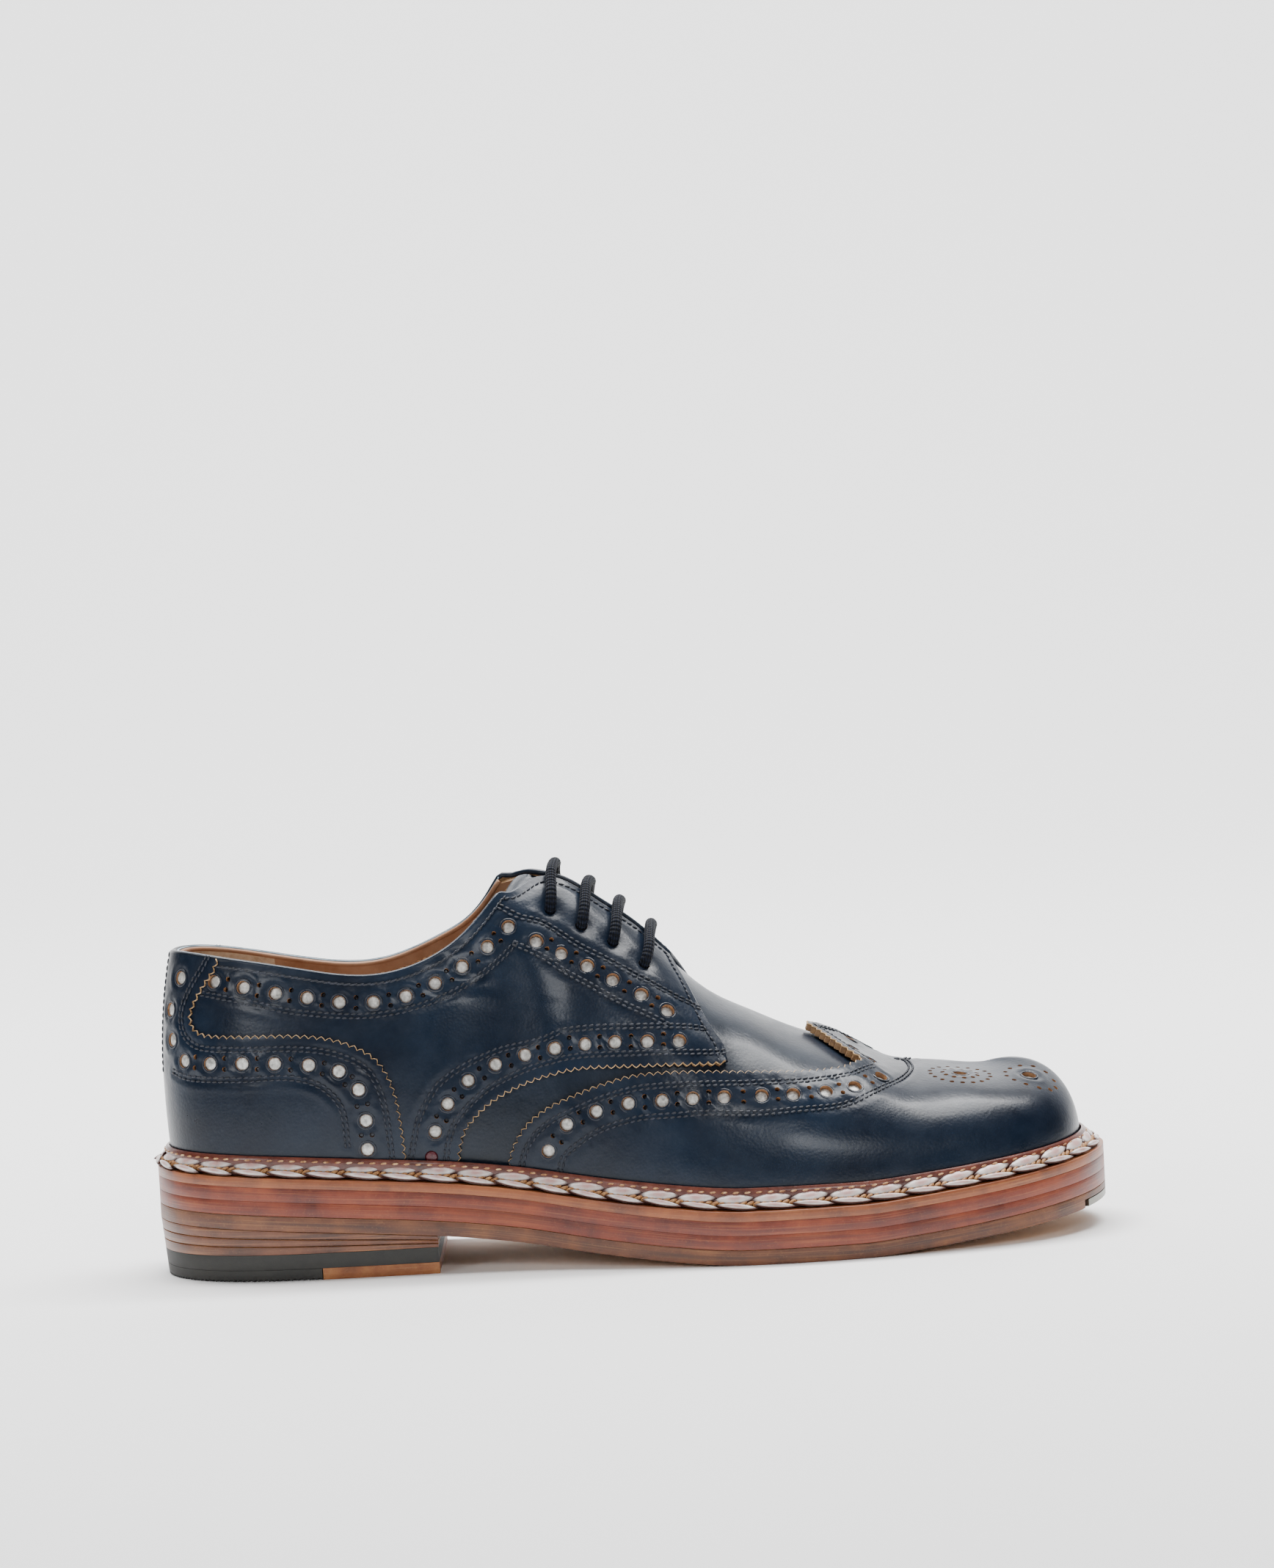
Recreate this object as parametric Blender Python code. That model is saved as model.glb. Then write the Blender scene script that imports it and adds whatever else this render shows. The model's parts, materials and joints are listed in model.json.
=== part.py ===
"""Winged, open-laced leather shoe for the right foot, standing empty on its sole.

Metres, +Z up, toe towards +X, outer side towards -Y.
The whole shoe hangs on one skin: ribs that rise from the feather line round the
insole to the top line, numbered by an angle that is 0 at the heel and pi at the toe.
Negative angles are the outer side.  Panels and soles are offsets of that skin.
"""
import math

import bpy
import bmesh
import numpy as np
from mathutils.geometry import delaunay_2d_cdt

# Last and upper
LAST_LENGTH = 0.2876        # feather line, heel to toe
BALL_WIDTH = 0.0945         # feather line, across the ball
UPPER_HEIGHT = 0.1000       # welt to the crown of the facings
UPPER_WALL = 0.0014         # vamp leather with its lining
QUARTER_WALL = 0.0012       # quarters and wing, over the vamp
COUNTER_WALL = 0.0018       # counter with its stiffener
CLEARANCE = 0.0003          # between pieces that touch
OVERLAY_GAP = 0.0006        # between the upper and the panels curved over it

# Soles, from the floor up
SEAT_RISE = 0.0184          # underside of the outsole at the back of the heel
TOE_SPRING = 0.0086         # underside of the outsole at the toe
OUTSOLE_THICKNESS = 0.0046
MIDSOLE_THICKNESS = 0.0041
WELT_THICKNESS = 0.0029
WELT_MARGIN = 0.0095        # feather line to sole edge at the ball
EDGE_ROUND = 0.0006         # bevel on each layer's edge
WELT_INNER = 0.0060         # the welt's inner edge, inside the feather line
INSOLE_THICKNESS = 0.0030

# Storm rand and braid
RAND_HEIGHT = 0.0064
RAND_WALL = 0.0015
BRAID_HEIGHT = 0.0046
BRAID_LIP = 0.0012          # bare welt outside the braid

# Heel
HEEL_LENGTH = 0.0900        # back of the sole to the breast, outer side
BREAST_SKEW = 0.0067        # the inner top corner of the breast lies this far forward
HEEL_TAPER = 0.0016         # the heel's edge comes in towards the floor
TOPLIFT_THICKNESS = 0.0035
RUBBER_THICKNESS = 0.0045
TOPLIFT_SPLIT = 0.0530      # back of the sole to the seam across the toplift
LIFT_COUNT = 3

# Metal plate let into the toe
PLATE_DEPTH = 0.0034
PLATE_THICKNESS = 0.0026
PLATE_ANGLE = 0.42          # half of its reach round the toe, as a rib angle

# Lacing
SLOT_HALF = 0.0066          # half of the gap between the facings
SLOT_TOP = 1.43             # rib angle at the top of the facings
SLOT_END = 1.815            # rib angle at the throat
TONGUE_WALL = 0.0016
TONGUE_GAP = 0.0013         # between the facings' lining and the tongue
TONGUE_START = 1.34         # rib angles at the tongue's end and root
TONGUE_STOP = 1.80
TONGUE_REACH = 0.34         # share of a rib that the tongue covers at its end
TONGUE_NARROWS = 0.10
TONGUE_STAND = 0.05         # its end stands this share of a rib above the collar
LACE_DIAMETER = 0.0035
LACE_LIFT = 0.0009          # the lace's middle stands this far above a taut line
LACE_GAP = 0.0008           # between the lace and the facing's faces
LACE_SIDES = 6
QUARTER_GAP = 0.0007        # between the quarter's back edge and the counter

BRAID_SIDES = 6
RING = 56                   # points round a sole
RIBS = 76                   # ribs of the upper
RIB = 10                    # points up a rib
CLOSE_RIBS = 6              # closer ribs on each side at the top of the facings

# Feather line: share of the last's length, then outer and inner half widths as shares of the ball width
FEATHER_ROWS = (
    # along, outer, inner
    (0.000, 0.000, 0.000),
    (0.025, 0.192, 0.190),
    (0.077, 0.286, 0.281),
    (0.162, 0.323, 0.312),
    (0.248, 0.328, 0.307),
    (0.333, 0.333, 0.281),
    (0.408, 0.359, 0.271),
    (0.487, 0.417, 0.302),
    (0.573, 0.479, 0.391),
    (0.658, 0.505, 0.474),
    (0.744, 0.489, 0.497),
    (0.829, 0.440, 0.464),
    (0.908, 0.370, 0.390),
    (0.966, 0.250, 0.285),
    (1.000, -0.020, 0.020),
)

# Top line and crown: length as a share of the last, sides as shares of the ball width,
# heights above the welt as shares of the upper's height
TOP_ROWS = (
    # along, top_along, outer, inner, outer_up, inner_up
    (0.000, 0.011, 0.000, 0.000, 0.679, 0.679),
    (0.025, 0.028, 0.120, 0.120, 0.681, 0.683),
    (0.077, 0.075, 0.214, 0.208, 0.670, 0.668),
    (0.162, 0.156, 0.276, 0.266, 0.644, 0.633),
    (0.248, 0.236, 0.292, 0.276, 0.638, 0.643),
    (0.333, 0.307, 0.260, 0.240, 0.722, 0.744),
    (0.408, 0.359, 0.182, 0.161, 0.875, 0.900),
    (0.450, 0.394, 0.099, 0.083, 0.985, 1.030),
    (0.487, 0.434, 0.000, 0.000, 1.007, 1.007),
    (0.530, 0.476, 0.000, 0.000, 0.936, 0.936),
    (0.573, 0.517, -0.003, 0.003, 0.857, 0.857),
    (0.615, 0.557, -0.006, 0.006, 0.750, 0.750),
    (0.658, 0.597, -0.016, 0.016, 0.643, 0.643),
    (0.700, 0.637, -0.026, 0.026, 0.577, 0.577),
    (0.744, 0.680, -0.036, 0.036, 0.516, 0.516),
    (0.787, 0.722, -0.052, 0.052, 0.460, 0.460),
    (0.829, 0.763, -0.068, 0.068, 0.389, 0.389),
    (0.870, 0.801, -0.083, 0.083, 0.335, 0.335),
    (0.908, 0.838, -0.094, 0.094, 0.307, 0.307),
    (0.950, 0.874, -0.104, 0.104, 0.280, 0.280),
    (1.000, 0.909, -0.104, 0.104, 0.262, 0.262),
)

# How each rib leaves the feather line and reaches the top: lengths as shares of the rib's chord,
# flare and turn in degrees
WALL_ROWS = (
    # along, rise, outer_flare, inner_flare, reach, turn
    (0.000, 0.40, 4.0, 4.0, 0.33, 13.5),
    (0.077, 0.40, 5.0, 5.0, 0.33, 12.0),
    (0.162, 0.40, 7.0, 6.0, 0.33, 12.0),
    (0.248, 0.40, 8.0, 4.0, 0.33, 13.0),
    (0.333, 0.38, 6.0, 2.0, 0.30, 20.0),
    (0.408, 0.36, 4.0, 0.0, 0.28, 38.0),
    (0.450, 0.35, 3.0, 0.0, 0.27, 58.0),
    (0.487, 0.34, 3.0, 0.0, 0.27, 78.0),
    (0.530, 0.34, 3.0, 1.0, 0.28, 88.0),
    (0.573, 0.34, 4.0, 2.0, 0.30, 90.0),
    (0.658, 0.36, 6.0, 5.0, 0.36, 90.0),
    (0.744, 0.38, 7.0, 6.0, 0.42, 90.0),
    (0.829, 0.42, 6.0, 6.0, 0.45, 90.0),
    (0.908, 0.46, 5.0, 5.0, 0.48, 90.0),
    (1.000, 0.50, 3.0, 3.0, 0.50, 90.0),
)

# Sole edge outside the feather line, as a share of the welt margin
MARGIN_ROWS = (
    # along, margin
    (0.000, 0.77),
    (0.077, 0.84),
    (0.248, 0.87),
    (0.450, 0.90),
    (0.600, 1.00),
    (0.800, 1.00),
    (0.950, 0.93),
    (1.000, 0.96),
)

# Underside of the outsole, over the sole's length
PROFILE_ROWS = (
    # along, share of the seat rise, share of the toe spring
    (0.000, 1.000, 0.000),
    (0.100, 0.908, 0.000),
    (0.200, 0.793, 0.000),
    (0.300, 0.652, 0.000),
    (0.380, 0.485, 0.000),
    (0.460, 0.262, 0.000),
    (0.540, 0.092, 0.000),
    (0.590, 0.016, 0.000),
    (0.615, 0.000, 0.000),
    (0.730, 0.000, 0.000),
    (0.800, 0.000, 0.170),
    (0.880, 0.000, 0.450),
    (0.940, 0.000, 0.710),
    (1.000, 0.000, 1.000),
)

# Lower edge of the quarter, seen from the side: share of the last's length, height above the welt
QUARTER_LOWER = (
    # along, up
    (0.311, 0.010),
    (0.313, 0.090),
    (0.320, 0.160),
    (0.331, 0.204),
    (0.351, 0.261),
    (0.379, 0.314),
    (0.418, 0.370),
    (0.456, 0.404),
    (0.505, 0.423),
    (0.554, 0.435),
    (0.610, 0.437),
)

# Front edge of the quarter, up to the facing
QUARTER_FRONT = (
    (0.606, 0.485),
    (0.596, 0.526),
    (0.583, 0.590),
    (0.571, 0.656),
    (0.557, 0.722),
)

# Top edge of the counter from the back strap down to the welt
COUNTER_EDGE = (
    (0.062, 0.655),
    (0.046, 0.590),
    (0.034, 0.530),
    (0.029, 0.485),
    (0.032, 0.445),
    (0.046, 0.422),
    (0.086, 0.423),
    (0.136, 0.431),
    (0.175, 0.427),
    (0.203, 0.407),
    (0.226, 0.372),
    (0.239, 0.320),
    (0.247, 0.250),
    (0.251, 0.160),
    (0.253, 0.080),
    (0.254, 0.010),
)

# Edge of the wing from the welt to the valley, then over the crown to its peak
WING_EDGE = (
    (0.370, 0.010),
    (0.374, 0.090),
    (0.384, 0.155),
    (0.399, 0.210),
    (0.420, 0.260),
    (0.444, 0.300),
    (0.480, 0.350),
    (0.520, 0.387),
    (0.580, 0.402),
    (0.640, 0.393),
    (0.700, 0.380),
    (0.763, 0.376),
)

# The wing's edge over the top of the vamp, in plan: share of the last's length, of the ball width
WING_TOP = (
    # along, side
    (0.735, -0.098),
)
WING_PEAK = 0.704

# The lace's holes in plan, from the top of the facings down
EYELET_ROWS = (
    # along, side
    (0.426, 0.164),
    (0.461, 0.199),
    (0.494, 0.198),
    (0.530, 0.220),
)
LACE_STOPS = (1.00, 0.80, 0.60, 0.40)    # shares of the hole's side at which a bar follows the facing


def pick(rows, column):
    return [row[column] for row in rows]


def monotone(stations, values, where):
    """Cubic through the stations that never overshoots, so equal rows stay flat."""
    x = np.array(stations, float)
    y = np.array(values, float)
    step = np.diff(x)
    rise = np.diff(y) / step
    slope = np.zeros_like(y)
    for i in range(1, len(x) - 1):
        if rise[i - 1] * rise[i] > 0:
            left = 2 * step[i] + step[i - 1]
            right = step[i] + 2 * step[i - 1]
            slope[i] = (left + right) / (left / rise[i - 1] + right / rise[i])
    slope[0] = rise[0]
    slope[-1] = rise[-1]
    where = np.clip(where, x[0], x[-1])
    k = np.clip(np.searchsorted(x, where, side="right") - 1, 0, len(x) - 2)
    t = (where - x[k]) / step[k]
    return ((1 + 2 * t) * (1 - t) ** 2 * y[k] + t * (1 - t) ** 2 * step[k] * slope[k]
            + t * t * (3 - 2 * t) * y[k + 1] + t * t * (t - 1) * step[k] * slope[k + 1])


def closed_spline(angles, values):
    """Smooth closed curve through values given at angles in a full turn."""
    knots = np.array(angles, float)
    y = np.array(values, float)
    count = len(knots)
    step = np.diff(np.append(knots, knots[0] + 2 * math.pi))
    bend = np.zeros((count, count))
    load = np.zeros(count)
    for i in range(count):
        before = step[i - 1]
        after = step[i]
        nxt = (i + 1) % count
        bend[i, i - 1] += before
        bend[i, i] += 2 * (before + after)
        bend[i, nxt] += after
        load[i] = 6 * ((y[nxt] - y[i]) / after - (y[i] - y[i - 1]) / before)
    curve = np.linalg.solve(bend, load)

    def value(theta):
        turn = (np.asarray(theta, float) - knots[0]) % (2 * math.pi) + knots[0]
        k = np.clip(np.searchsorted(knots, turn, side="right") - 1, 0, count - 1)
        n = (k + 1) % count
        a = (knots[k] + step[k] - turn) / step[k]
        b = 1 - a
        return (a * y[k] + b * y[n]
                + ((a ** 3 - a) * curve[k] + (b ** 3 - b) * curve[n]) * step[k] ** 2 / 6)
    return value


def loop_of(rows, outer, inner, outer_sign=1.0):
    """Closed curve from a table whose rows run heel to toe, with a column for each side."""
    angles = [math.acos(1 - 2 * row[0]) for row in rows]
    outer_part = [(-angle, outer_sign * row[outer]) for angle, row in zip(angles, rows)][1:-1]
    inner_part = [(angle, row[inner]) for angle, row in zip(angles, rows)]
    both = sorted(outer_part + inner_part)
    return closed_spline([item[0] for item in both], [item[1] for item in both])


FEATHER_SIDE = loop_of(FEATHER_ROWS, 1, 2, -1.0)
TOP_ALONG = loop_of(TOP_ROWS, 1, 1)
TOP_SIDE = loop_of(TOP_ROWS, 2, 3, -1.0)
TOP_UP = loop_of(TOP_ROWS, 4, 5)
RISE = loop_of(WALL_ROWS, 1, 1)
FLARE = loop_of(WALL_ROWS, 2, 3)
REACH = loop_of(WALL_ROWS, 4, 4)
TURN = loop_of(WALL_ROWS, 5, 5)
MARGIN = loop_of(MARGIN_ROWS, 1, 1)

SOLE_STACK = OUTSOLE_THICKNESS + 2 * MIDSOLE_THICKNESS + WELT_THICKNESS + 3 * CLEARANCE
BACK_MARGIN = WELT_MARGIN * MARGIN_ROWS[0][1]
TOE_MARGIN = WELT_MARGIN * MARGIN_ROWS[-1][1]
SOLE_LENGTH = LAST_LENGTH + BACK_MARGIN + TOE_MARGIN
CANT = 0.06                 # the crown leans towards the outer side
FUSE_START = 1.42           # rib angles where the two sides' top lines come together
FUSE_END = 1.54
POLE = 0.03                 # the crown's slope is read this far short of its end
NORMAL_TOP = 0.995          # normals on the crown are read just below it


def unit(vectors):
    return vectors / np.linalg.norm(vectors, axis=-1, keepdims=True)


def ease(low, high, value):
    t = np.clip((value - low) / (high - low), 0.0, 1.0)
    return t * t * (3 - 2 * t)


def underside(x):
    """Height of the outsole's underside."""
    share = (x + BACK_MARGIN) / SOLE_LENGTH
    stations = pick(PROFILE_ROWS, 0)
    seat = monotone(stations, pick(PROFILE_ROWS, 1), share)
    spring = monotone(stations, pick(PROFILE_ROWS, 2), share)
    return SEAT_RISE * seat + TOE_SPRING * spring


def welt_top(x):
    return underside(x) + SOLE_STACK


def feather(theta):
    """Plan position of the feather line."""
    x = LAST_LENGTH * (1 - np.cos(theta)) / 2
    return np.stack([x, BALL_WIDTH * FEATHER_SIDE(theta)], -1)


def plan_normal(theta):
    """Outward direction of the feather line in plan."""
    small = 1e-3
    along = feather(theta + small) - feather(theta - small)
    return unit(np.stack([-along[..., 1], along[..., 0]], -1))


def top_point(theta):
    """Top line on the heel and quarters, crown of the last from the facings on."""
    def one(angle):
        x = LAST_LENGTH * TOP_ALONG(angle)
        base = welt_top(LAST_LENGTH * (1 - np.cos(angle)) / 2)
        return np.stack([x, BALL_WIDTH * TOP_SIDE(angle), base + UPPER_HEIGHT * TOP_UP(angle)], -1)
    own = one(theta)
    both = (own + one(-theta)) / 2
    fuse = ease(FUSE_START, FUSE_END, np.abs(wrap(theta)))[..., None]
    return own * (1 - fuse) + both * fuse


def wrap(theta):
    return (np.asarray(theta, float) + math.pi) % (2 * math.pi) - math.pi


def rib(theta):
    """The four Bezier points of each rib."""
    foot_plan = feather(theta)
    foot = np.concatenate([foot_plan, (welt_top(foot_plan[..., 0]) + CLEARANCE)[..., None]], -1)
    top = top_point(theta)
    chord = np.linalg.norm(top - foot, axis=-1)[..., None]
    outward = plan_normal(theta)
    flare = np.radians(FLARE(theta))[..., None]
    foot_way = np.concatenate([outward * np.sin(flare), np.cos(flare)], -1)
    small = 1e-3
    along = np.minimum(np.abs(wrap(theta)), math.pi - POLE)
    crown = top_point(along + small) - top_point(along - small)
    lean = np.stack([np.zeros_like(crown[..., 0]), np.ones_like(crown[..., 0]),
                     np.full_like(crown[..., 0], CANT)], -1)
    plane = np.cross(crown, lean)
    spread = unit(foot_plan - top[..., :2])
    fused = ease(FUSE_START, FUSE_END, np.abs(wrap(theta)))
    depth = np.where(np.abs(plane[..., 2]) > 1e-12, plane[..., 2], 1.0)
    drop = -(spread * plane[..., :2]).sum(-1) / depth * fused
    level = unit(np.concatenate([spread, drop[..., None]], -1))
    turn = np.radians(TURN(theta))[..., None]
    down = np.zeros_like(level)
    down[..., 2] = -1.0
    top_way = level * np.sin(turn) + down * np.cos(turn)
    first = foot + foot_way * chord * RISE(theta)[..., None]
    second = top + top_way * chord * REACH(theta)[..., None]
    return foot, first, second, top


def on_skin(theta, v):
    """Point of the skin: v is 0 at the feather line and 1 at the top line or crown."""
    theta = np.asarray(theta, float)
    v = np.asarray(v, float)[..., None]
    foot, first, second, top = rib(theta)
    return ((1 - v) ** 3 * foot + 3 * v * (1 - v) ** 2 * first
            + 3 * v * v * (1 - v) * second + v ** 3 * top)


def skin_normal(theta, v):
    def one(angle, height):
        small = 1e-4
        height = np.minimum(height, NORMAL_TOP)
        round_way = on_skin(angle + small, height) - on_skin(angle - small, height)
        up_way = on_skin(angle, height + small) - on_skin(angle, height - small)
        return unit(np.cross(round_way, up_way)) * -1.0
    own = one(theta, v)
    on_crown = (np.asarray(v) > 1 - 1e-6) & (np.abs(wrap(theta)) > FUSE_END)
    other = np.where(on_crown[..., None], one(-np.asarray(theta, float), v), own)
    return unit(own + other)


def skin(theta, v, offset):
    return on_skin(theta, v) + skin_normal(theta, v) * offset


def slot_edge(theta):
    """v at the edge of the collar, and of the facings along the slot."""
    angle = np.abs(wrap(theta))
    middle = (SLOT_TOP + SLOT_END) / 2
    half = (SLOT_END - SLOT_TOP) / 2
    open_share = np.clip(1 - np.abs((angle - middle) / half) ** 6, 0, 1) ** 0.5
    second, top = rib(theta)[2:]
    speed = 3 * np.linalg.norm(top - second, axis=-1)
    return 1 - SLOT_HALF * open_share / speed


def from_side(points):
    """Rib angle and v of points drawn in the side view, on the outer side."""
    angles, heights = np.meshgrid(np.linspace(-3.1, -0.02, 260), np.linspace(0, 1, 160), indexing="ij")
    cloud = on_skin(angles, heights)
    found = []
    for along, up in points:
        x = along * LAST_LENGTH
        z = welt_top(x) + CLEARANCE + up * UPPER_HEIGHT
        theta, v = nearest(cloud, angles, heights, (0, 2), (x, z))
        found.append((float(theta), float(v)))
    return found


def from_plan(points):
    """Rib angle and v of points drawn in plan, on the outer side of the crown."""
    angles, heights = np.meshgrid(np.linspace(-3.1, -1.6, 200), np.linspace(0.4, 1, 120), indexing="ij")
    cloud = on_skin(angles, heights)
    return [tuple(map(float, nearest(cloud, angles, heights, (0, 1), (along * LAST_LENGTH, side * BALL_WIDTH))))
            for along, side in points]


def nearest(cloud, angles, heights, axes, goal):
    """Start on the nearest grid point, then settle with Newton's steps."""
    axes = list(axes)
    goal = np.array(goal)
    miss = ((cloud[..., axes] - goal) ** 2).sum(-1)
    k = np.unravel_index(np.argmin(miss), miss.shape)
    theta = angles[k]
    v = heights[k]
    small = 1e-4
    for _ in range(6):
        here = on_skin(theta, v)
        by_theta = (on_skin(theta + small, v) - here) / small
        by_v = (on_skin(theta, v + small) - here) / small
        slope = np.stack([by_theta[axes], by_v[axes]], -1)
        if abs(np.linalg.det(slope)) < 1e-9:
            break
        move = np.linalg.solve(slope, goal - here[axes])
        theta = theta + np.clip(move[0], -0.05, 0.05)
        v = np.clip(v + np.clip(move[1], -0.05, 0.05), 0.0, 1.0)
    return theta, v


def sole_line(theta, inset=0.0):
    """Plan line of the sole's edge, or inside it."""
    edge = (WELT_MARGIN * MARGIN(theta) - inset)[..., None]
    return feather(theta) + plan_normal(theta) * edge


ROUND = np.arange(RING) * 2 * math.pi / RING
EVEN_ANGLES = np.arange(RIBS) * 2 * math.pi / RIBS
CLOSE_ANGLES = np.linspace(SLOT_TOP - 0.06, FUSE_END + 0.04, CLOSE_RIBS)
APART = math.pi / RIBS
RIB_ANGLES = np.sort(np.concatenate([
    EVEN_ANGLES[(np.abs(wrap(EVEN_ANGLES)) < CLOSE_ANGLES[0] - APART)
                | (np.abs(wrap(EVEN_ANGLES)) > CLOSE_ANGLES[-1] + APART)],
    CLOSE_ANGLES, 2 * math.pi - CLOSE_ANGLES]))
EDGE = sole_line(np.linspace(0, 2 * math.pi, 2000))
CENTRE = np.array([(EDGE[:, 0].min() + EDGE[:, 0].max()) / 2, (EDGE[:, 1].min() + EDGE[:, 1].max()) / 2, 0.0])


def material(name, colour, roughness, metallic=0.0):
    found = bpy.data.materials.get(name)
    if found:
        return found
    made = bpy.data.materials.new(name)
    made.use_nodes = True
    shader = made.node_tree.nodes["Principled BSDF"]
    shader.inputs["Base Color"].default_value = (*colour, 1.0)
    shader.inputs["Roughness"].default_value = roughness
    shader.inputs["Metallic"].default_value = metallic
    return made


def add_solid(name, points, faces, finish, sharp=40.0):
    """A closed mesh in the shoe's frame, its faces pointing out."""
    mesh = bpy.data.meshes.new(name)
    mesh.from_pydata([tuple(p) for p in np.asarray(points) - CENTRE], [], faces)
    work = bmesh.new()
    work.from_mesh(mesh)
    bmesh.ops.remove_doubles(work, verts=work.verts, dist=1e-7)
    bmesh.ops.recalc_face_normals(work, faces=work.faces)
    work.to_mesh(mesh)
    work.free()
    mesh.shade_smooth()
    mesh.set_sharp_from_angle(angle=math.radians(sharp))
    mesh.materials.append(finish)
    thing = bpy.data.objects.new(name, mesh)
    bpy.context.scene.collection.objects.link(thing)
    return thing


def between(lower, upper, count):
    """Faces that join two rings of count points, given their first indices."""
    return [(lower + i, lower + (i + 1) % count, upper + (i + 1) % count, upper + i)
            for i in range(count)]


def cap(start, pairs):
    """Faces across a ring, joining the points that face each other."""
    faces = []
    for (a, b), (c, d) in zip(pairs, pairs[1:]):
        face = [a, c] + ([d] if d != c else []) + ([b] if b != a else [])
        faces.append(tuple(start + i for i in face))
    return faces


def stack(name, rings, pairs, finish):
    """A solid through rings from the bottom up, capped below and above."""
    count = len(rings[0])
    faces = cap(0, pairs)
    for k in range(len(rings) - 1):
        faces += between(k * count, (k + 1) * count, count)
    faces += cap((len(rings) - 1) * count, pairs)
    return add_solid(name, np.concatenate(rings), faces, finish)


def hoop(name, rings, finish):
    """A closed ring-shaped solid whose section is given by rings in order."""
    count = len(rings[0])
    faces = []
    for k in range(len(rings)):
        faces += between(k * count, ((k + 1) % len(rings)) * count, count)
    return add_solid(name, np.concatenate(rings), faces, finish)


FULL_PAIRS = [(0, 0)] + [(i, RING - i) for i in range(1, RING // 2)] + [(RING // 2, RING // 2)]


def at_height(plan, height):
    return np.concatenate([plan, height[..., None]], -1)


def sole_ring(inset, lift):
    """Ring of the sole's plan line, at a height above the outsole's underside."""
    plan = sole_line(ROUND, inset)
    return at_height(plan, underside(plan[:, 0]) + lift)


def sole_layer(name, bottom, top, inset, finish):
    rings = [sole_ring(inset + EDGE_ROUND, bottom), sole_ring(inset, bottom + EDGE_ROUND),
             sole_ring(inset, top - EDGE_ROUND), sole_ring(inset + EDGE_ROUND, top)]
    return stack(name, rings, FULL_PAIRS, finish)


def plate_window(theta):
    """1 where the toe plate lies, 0 elsewhere."""
    from_toe = math.pi - np.abs(wrap(theta))
    return 1 - ease(PLATE_ANGLE * 0.75, PLATE_ANGLE, from_toe)


def make_outsole(finish):
    """Outsole with a recess under the toe for the plate."""
    recess = PLATE_DEPTH * plate_window(ROUND)
    step = PLATE_THICKNESS
    rings = [sole_ring(EDGE_ROUND + recess, 0.0), sole_ring(EDGE_ROUND * 0.5 + recess, step),
             sole_ring(0.0, step + EDGE_ROUND * 0.5), sole_ring(0.0, OUTSOLE_THICKNESS - EDGE_ROUND),
             sole_ring(EDGE_ROUND, OUTSOLE_THICKNESS)]
    return stack("outsole", rings, FULL_PAIRS, finish)


def make_toe_plate(finish):
    reach = np.linspace(-0.7, 0.7, 13) * PLATE_ANGLE + math.pi
    inner = sole_line(reach, EDGE_ROUND + PLATE_DEPTH - CLEARANCE)
    outer = sole_line(reach, EDGE_ROUND * 0.5)
    low = CLEARANCE / 2
    high = PLATE_THICKNESS - CLEARANCE
    rows = [at_height(inner, underside(inner[:, 0]) + low), at_height(outer, underside(outer[:, 0]) + low),
            at_height(outer, underside(outer[:, 0]) + high), at_height(inner, underside(inner[:, 0]) + high)]
    count = len(reach)
    faces = [(0, count, 2 * count, 3 * count)]
    for k in range(4):
        a = k * count
        b = (k + 1) % 4 * count
        faces += [(a + i, a + i + 1, b + i + 1, b + i) for i in range(count - 1)]
    faces.append((count - 1, 2 * count - 1, 3 * count - 1, 4 * count - 1))
    return add_solid("toe_plate", np.concatenate(rows), faces, finish)


def make_welt(bottom, finish):
    """Flat leather ring under the upper's edge."""
    inner = feather(ROUND) - plan_normal(ROUND) * WELT_INNER
    outer_low = sole_ring(0.0, bottom)
    outer_high = sole_ring(0.0, SOLE_STACK - EDGE_ROUND)
    lip = sole_ring(EDGE_ROUND, SOLE_STACK)
    rings = [at_height(inner, underside(inner[:, 0]) + bottom), outer_low, outer_high, lip,
             at_height(inner, underside(inner[:, 0]) + SOLE_STACK)]
    return hoop("welt", rings, finish)


def make_insole(bottom, finish):
    """Insole: its middle drops inside the welt, its rim lies on it."""
    inner = feather(ROUND) - plan_normal(ROUND) * (WELT_INNER + CLEARANCE)
    rim = feather(ROUND) - plan_normal(ROUND) * (UPPER_WALL + 2 * CLEARANCE)
    rest = SOLE_STACK + CLEARANCE
    rings = [at_height(inner, underside(inner[:, 0]) + bottom), at_height(inner, underside(inner[:, 0]) + rest),
             at_height(rim, underside(rim[:, 0]) + rest),
             at_height(rim, underside(rim[:, 0]) + rest + INSOLE_THICKNESS)]
    return stack("insole", rings, FULL_PAIRS, finish)


def make_rand(finish):
    """Storm rand: stands on the welt against the upper."""
    near = OVERLAY_GAP + QUARTER_WALL + 2 * CLEARANCE
    near_heel = OVERLAY_GAP + COUNTER_WALL + 2 * CLEARANCE
    behind = 1 - ease(0.26, 0.30, (1 - np.cos(ROUND)) / 2)
    inside = near + (near_heel - near) * behind
    foot, first = rib(ROUND)[:2]
    lift = RAND_HEIGHT / (3 * np.linalg.norm(first - foot, axis=-1))
    rows = []
    for v, offset in ((0.0, inside), (0.0, inside + RAND_WALL), (0.5, inside + RAND_WALL),
                      (1.0, inside + RAND_WALL * 0.8), (1.0, inside)):
        points = on_skin(ROUND, v * lift)
        side = np.concatenate([plan_normal(ROUND), np.zeros((RING, 1))], -1)
        points = points + side * offset[:, None]
        if v == 0.0:
            points[:, 2] = welt_top(points[:, 0]) + CLEARANCE
        rows.append(points)
    return hoop("storm_rand", rows, finish)


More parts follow.
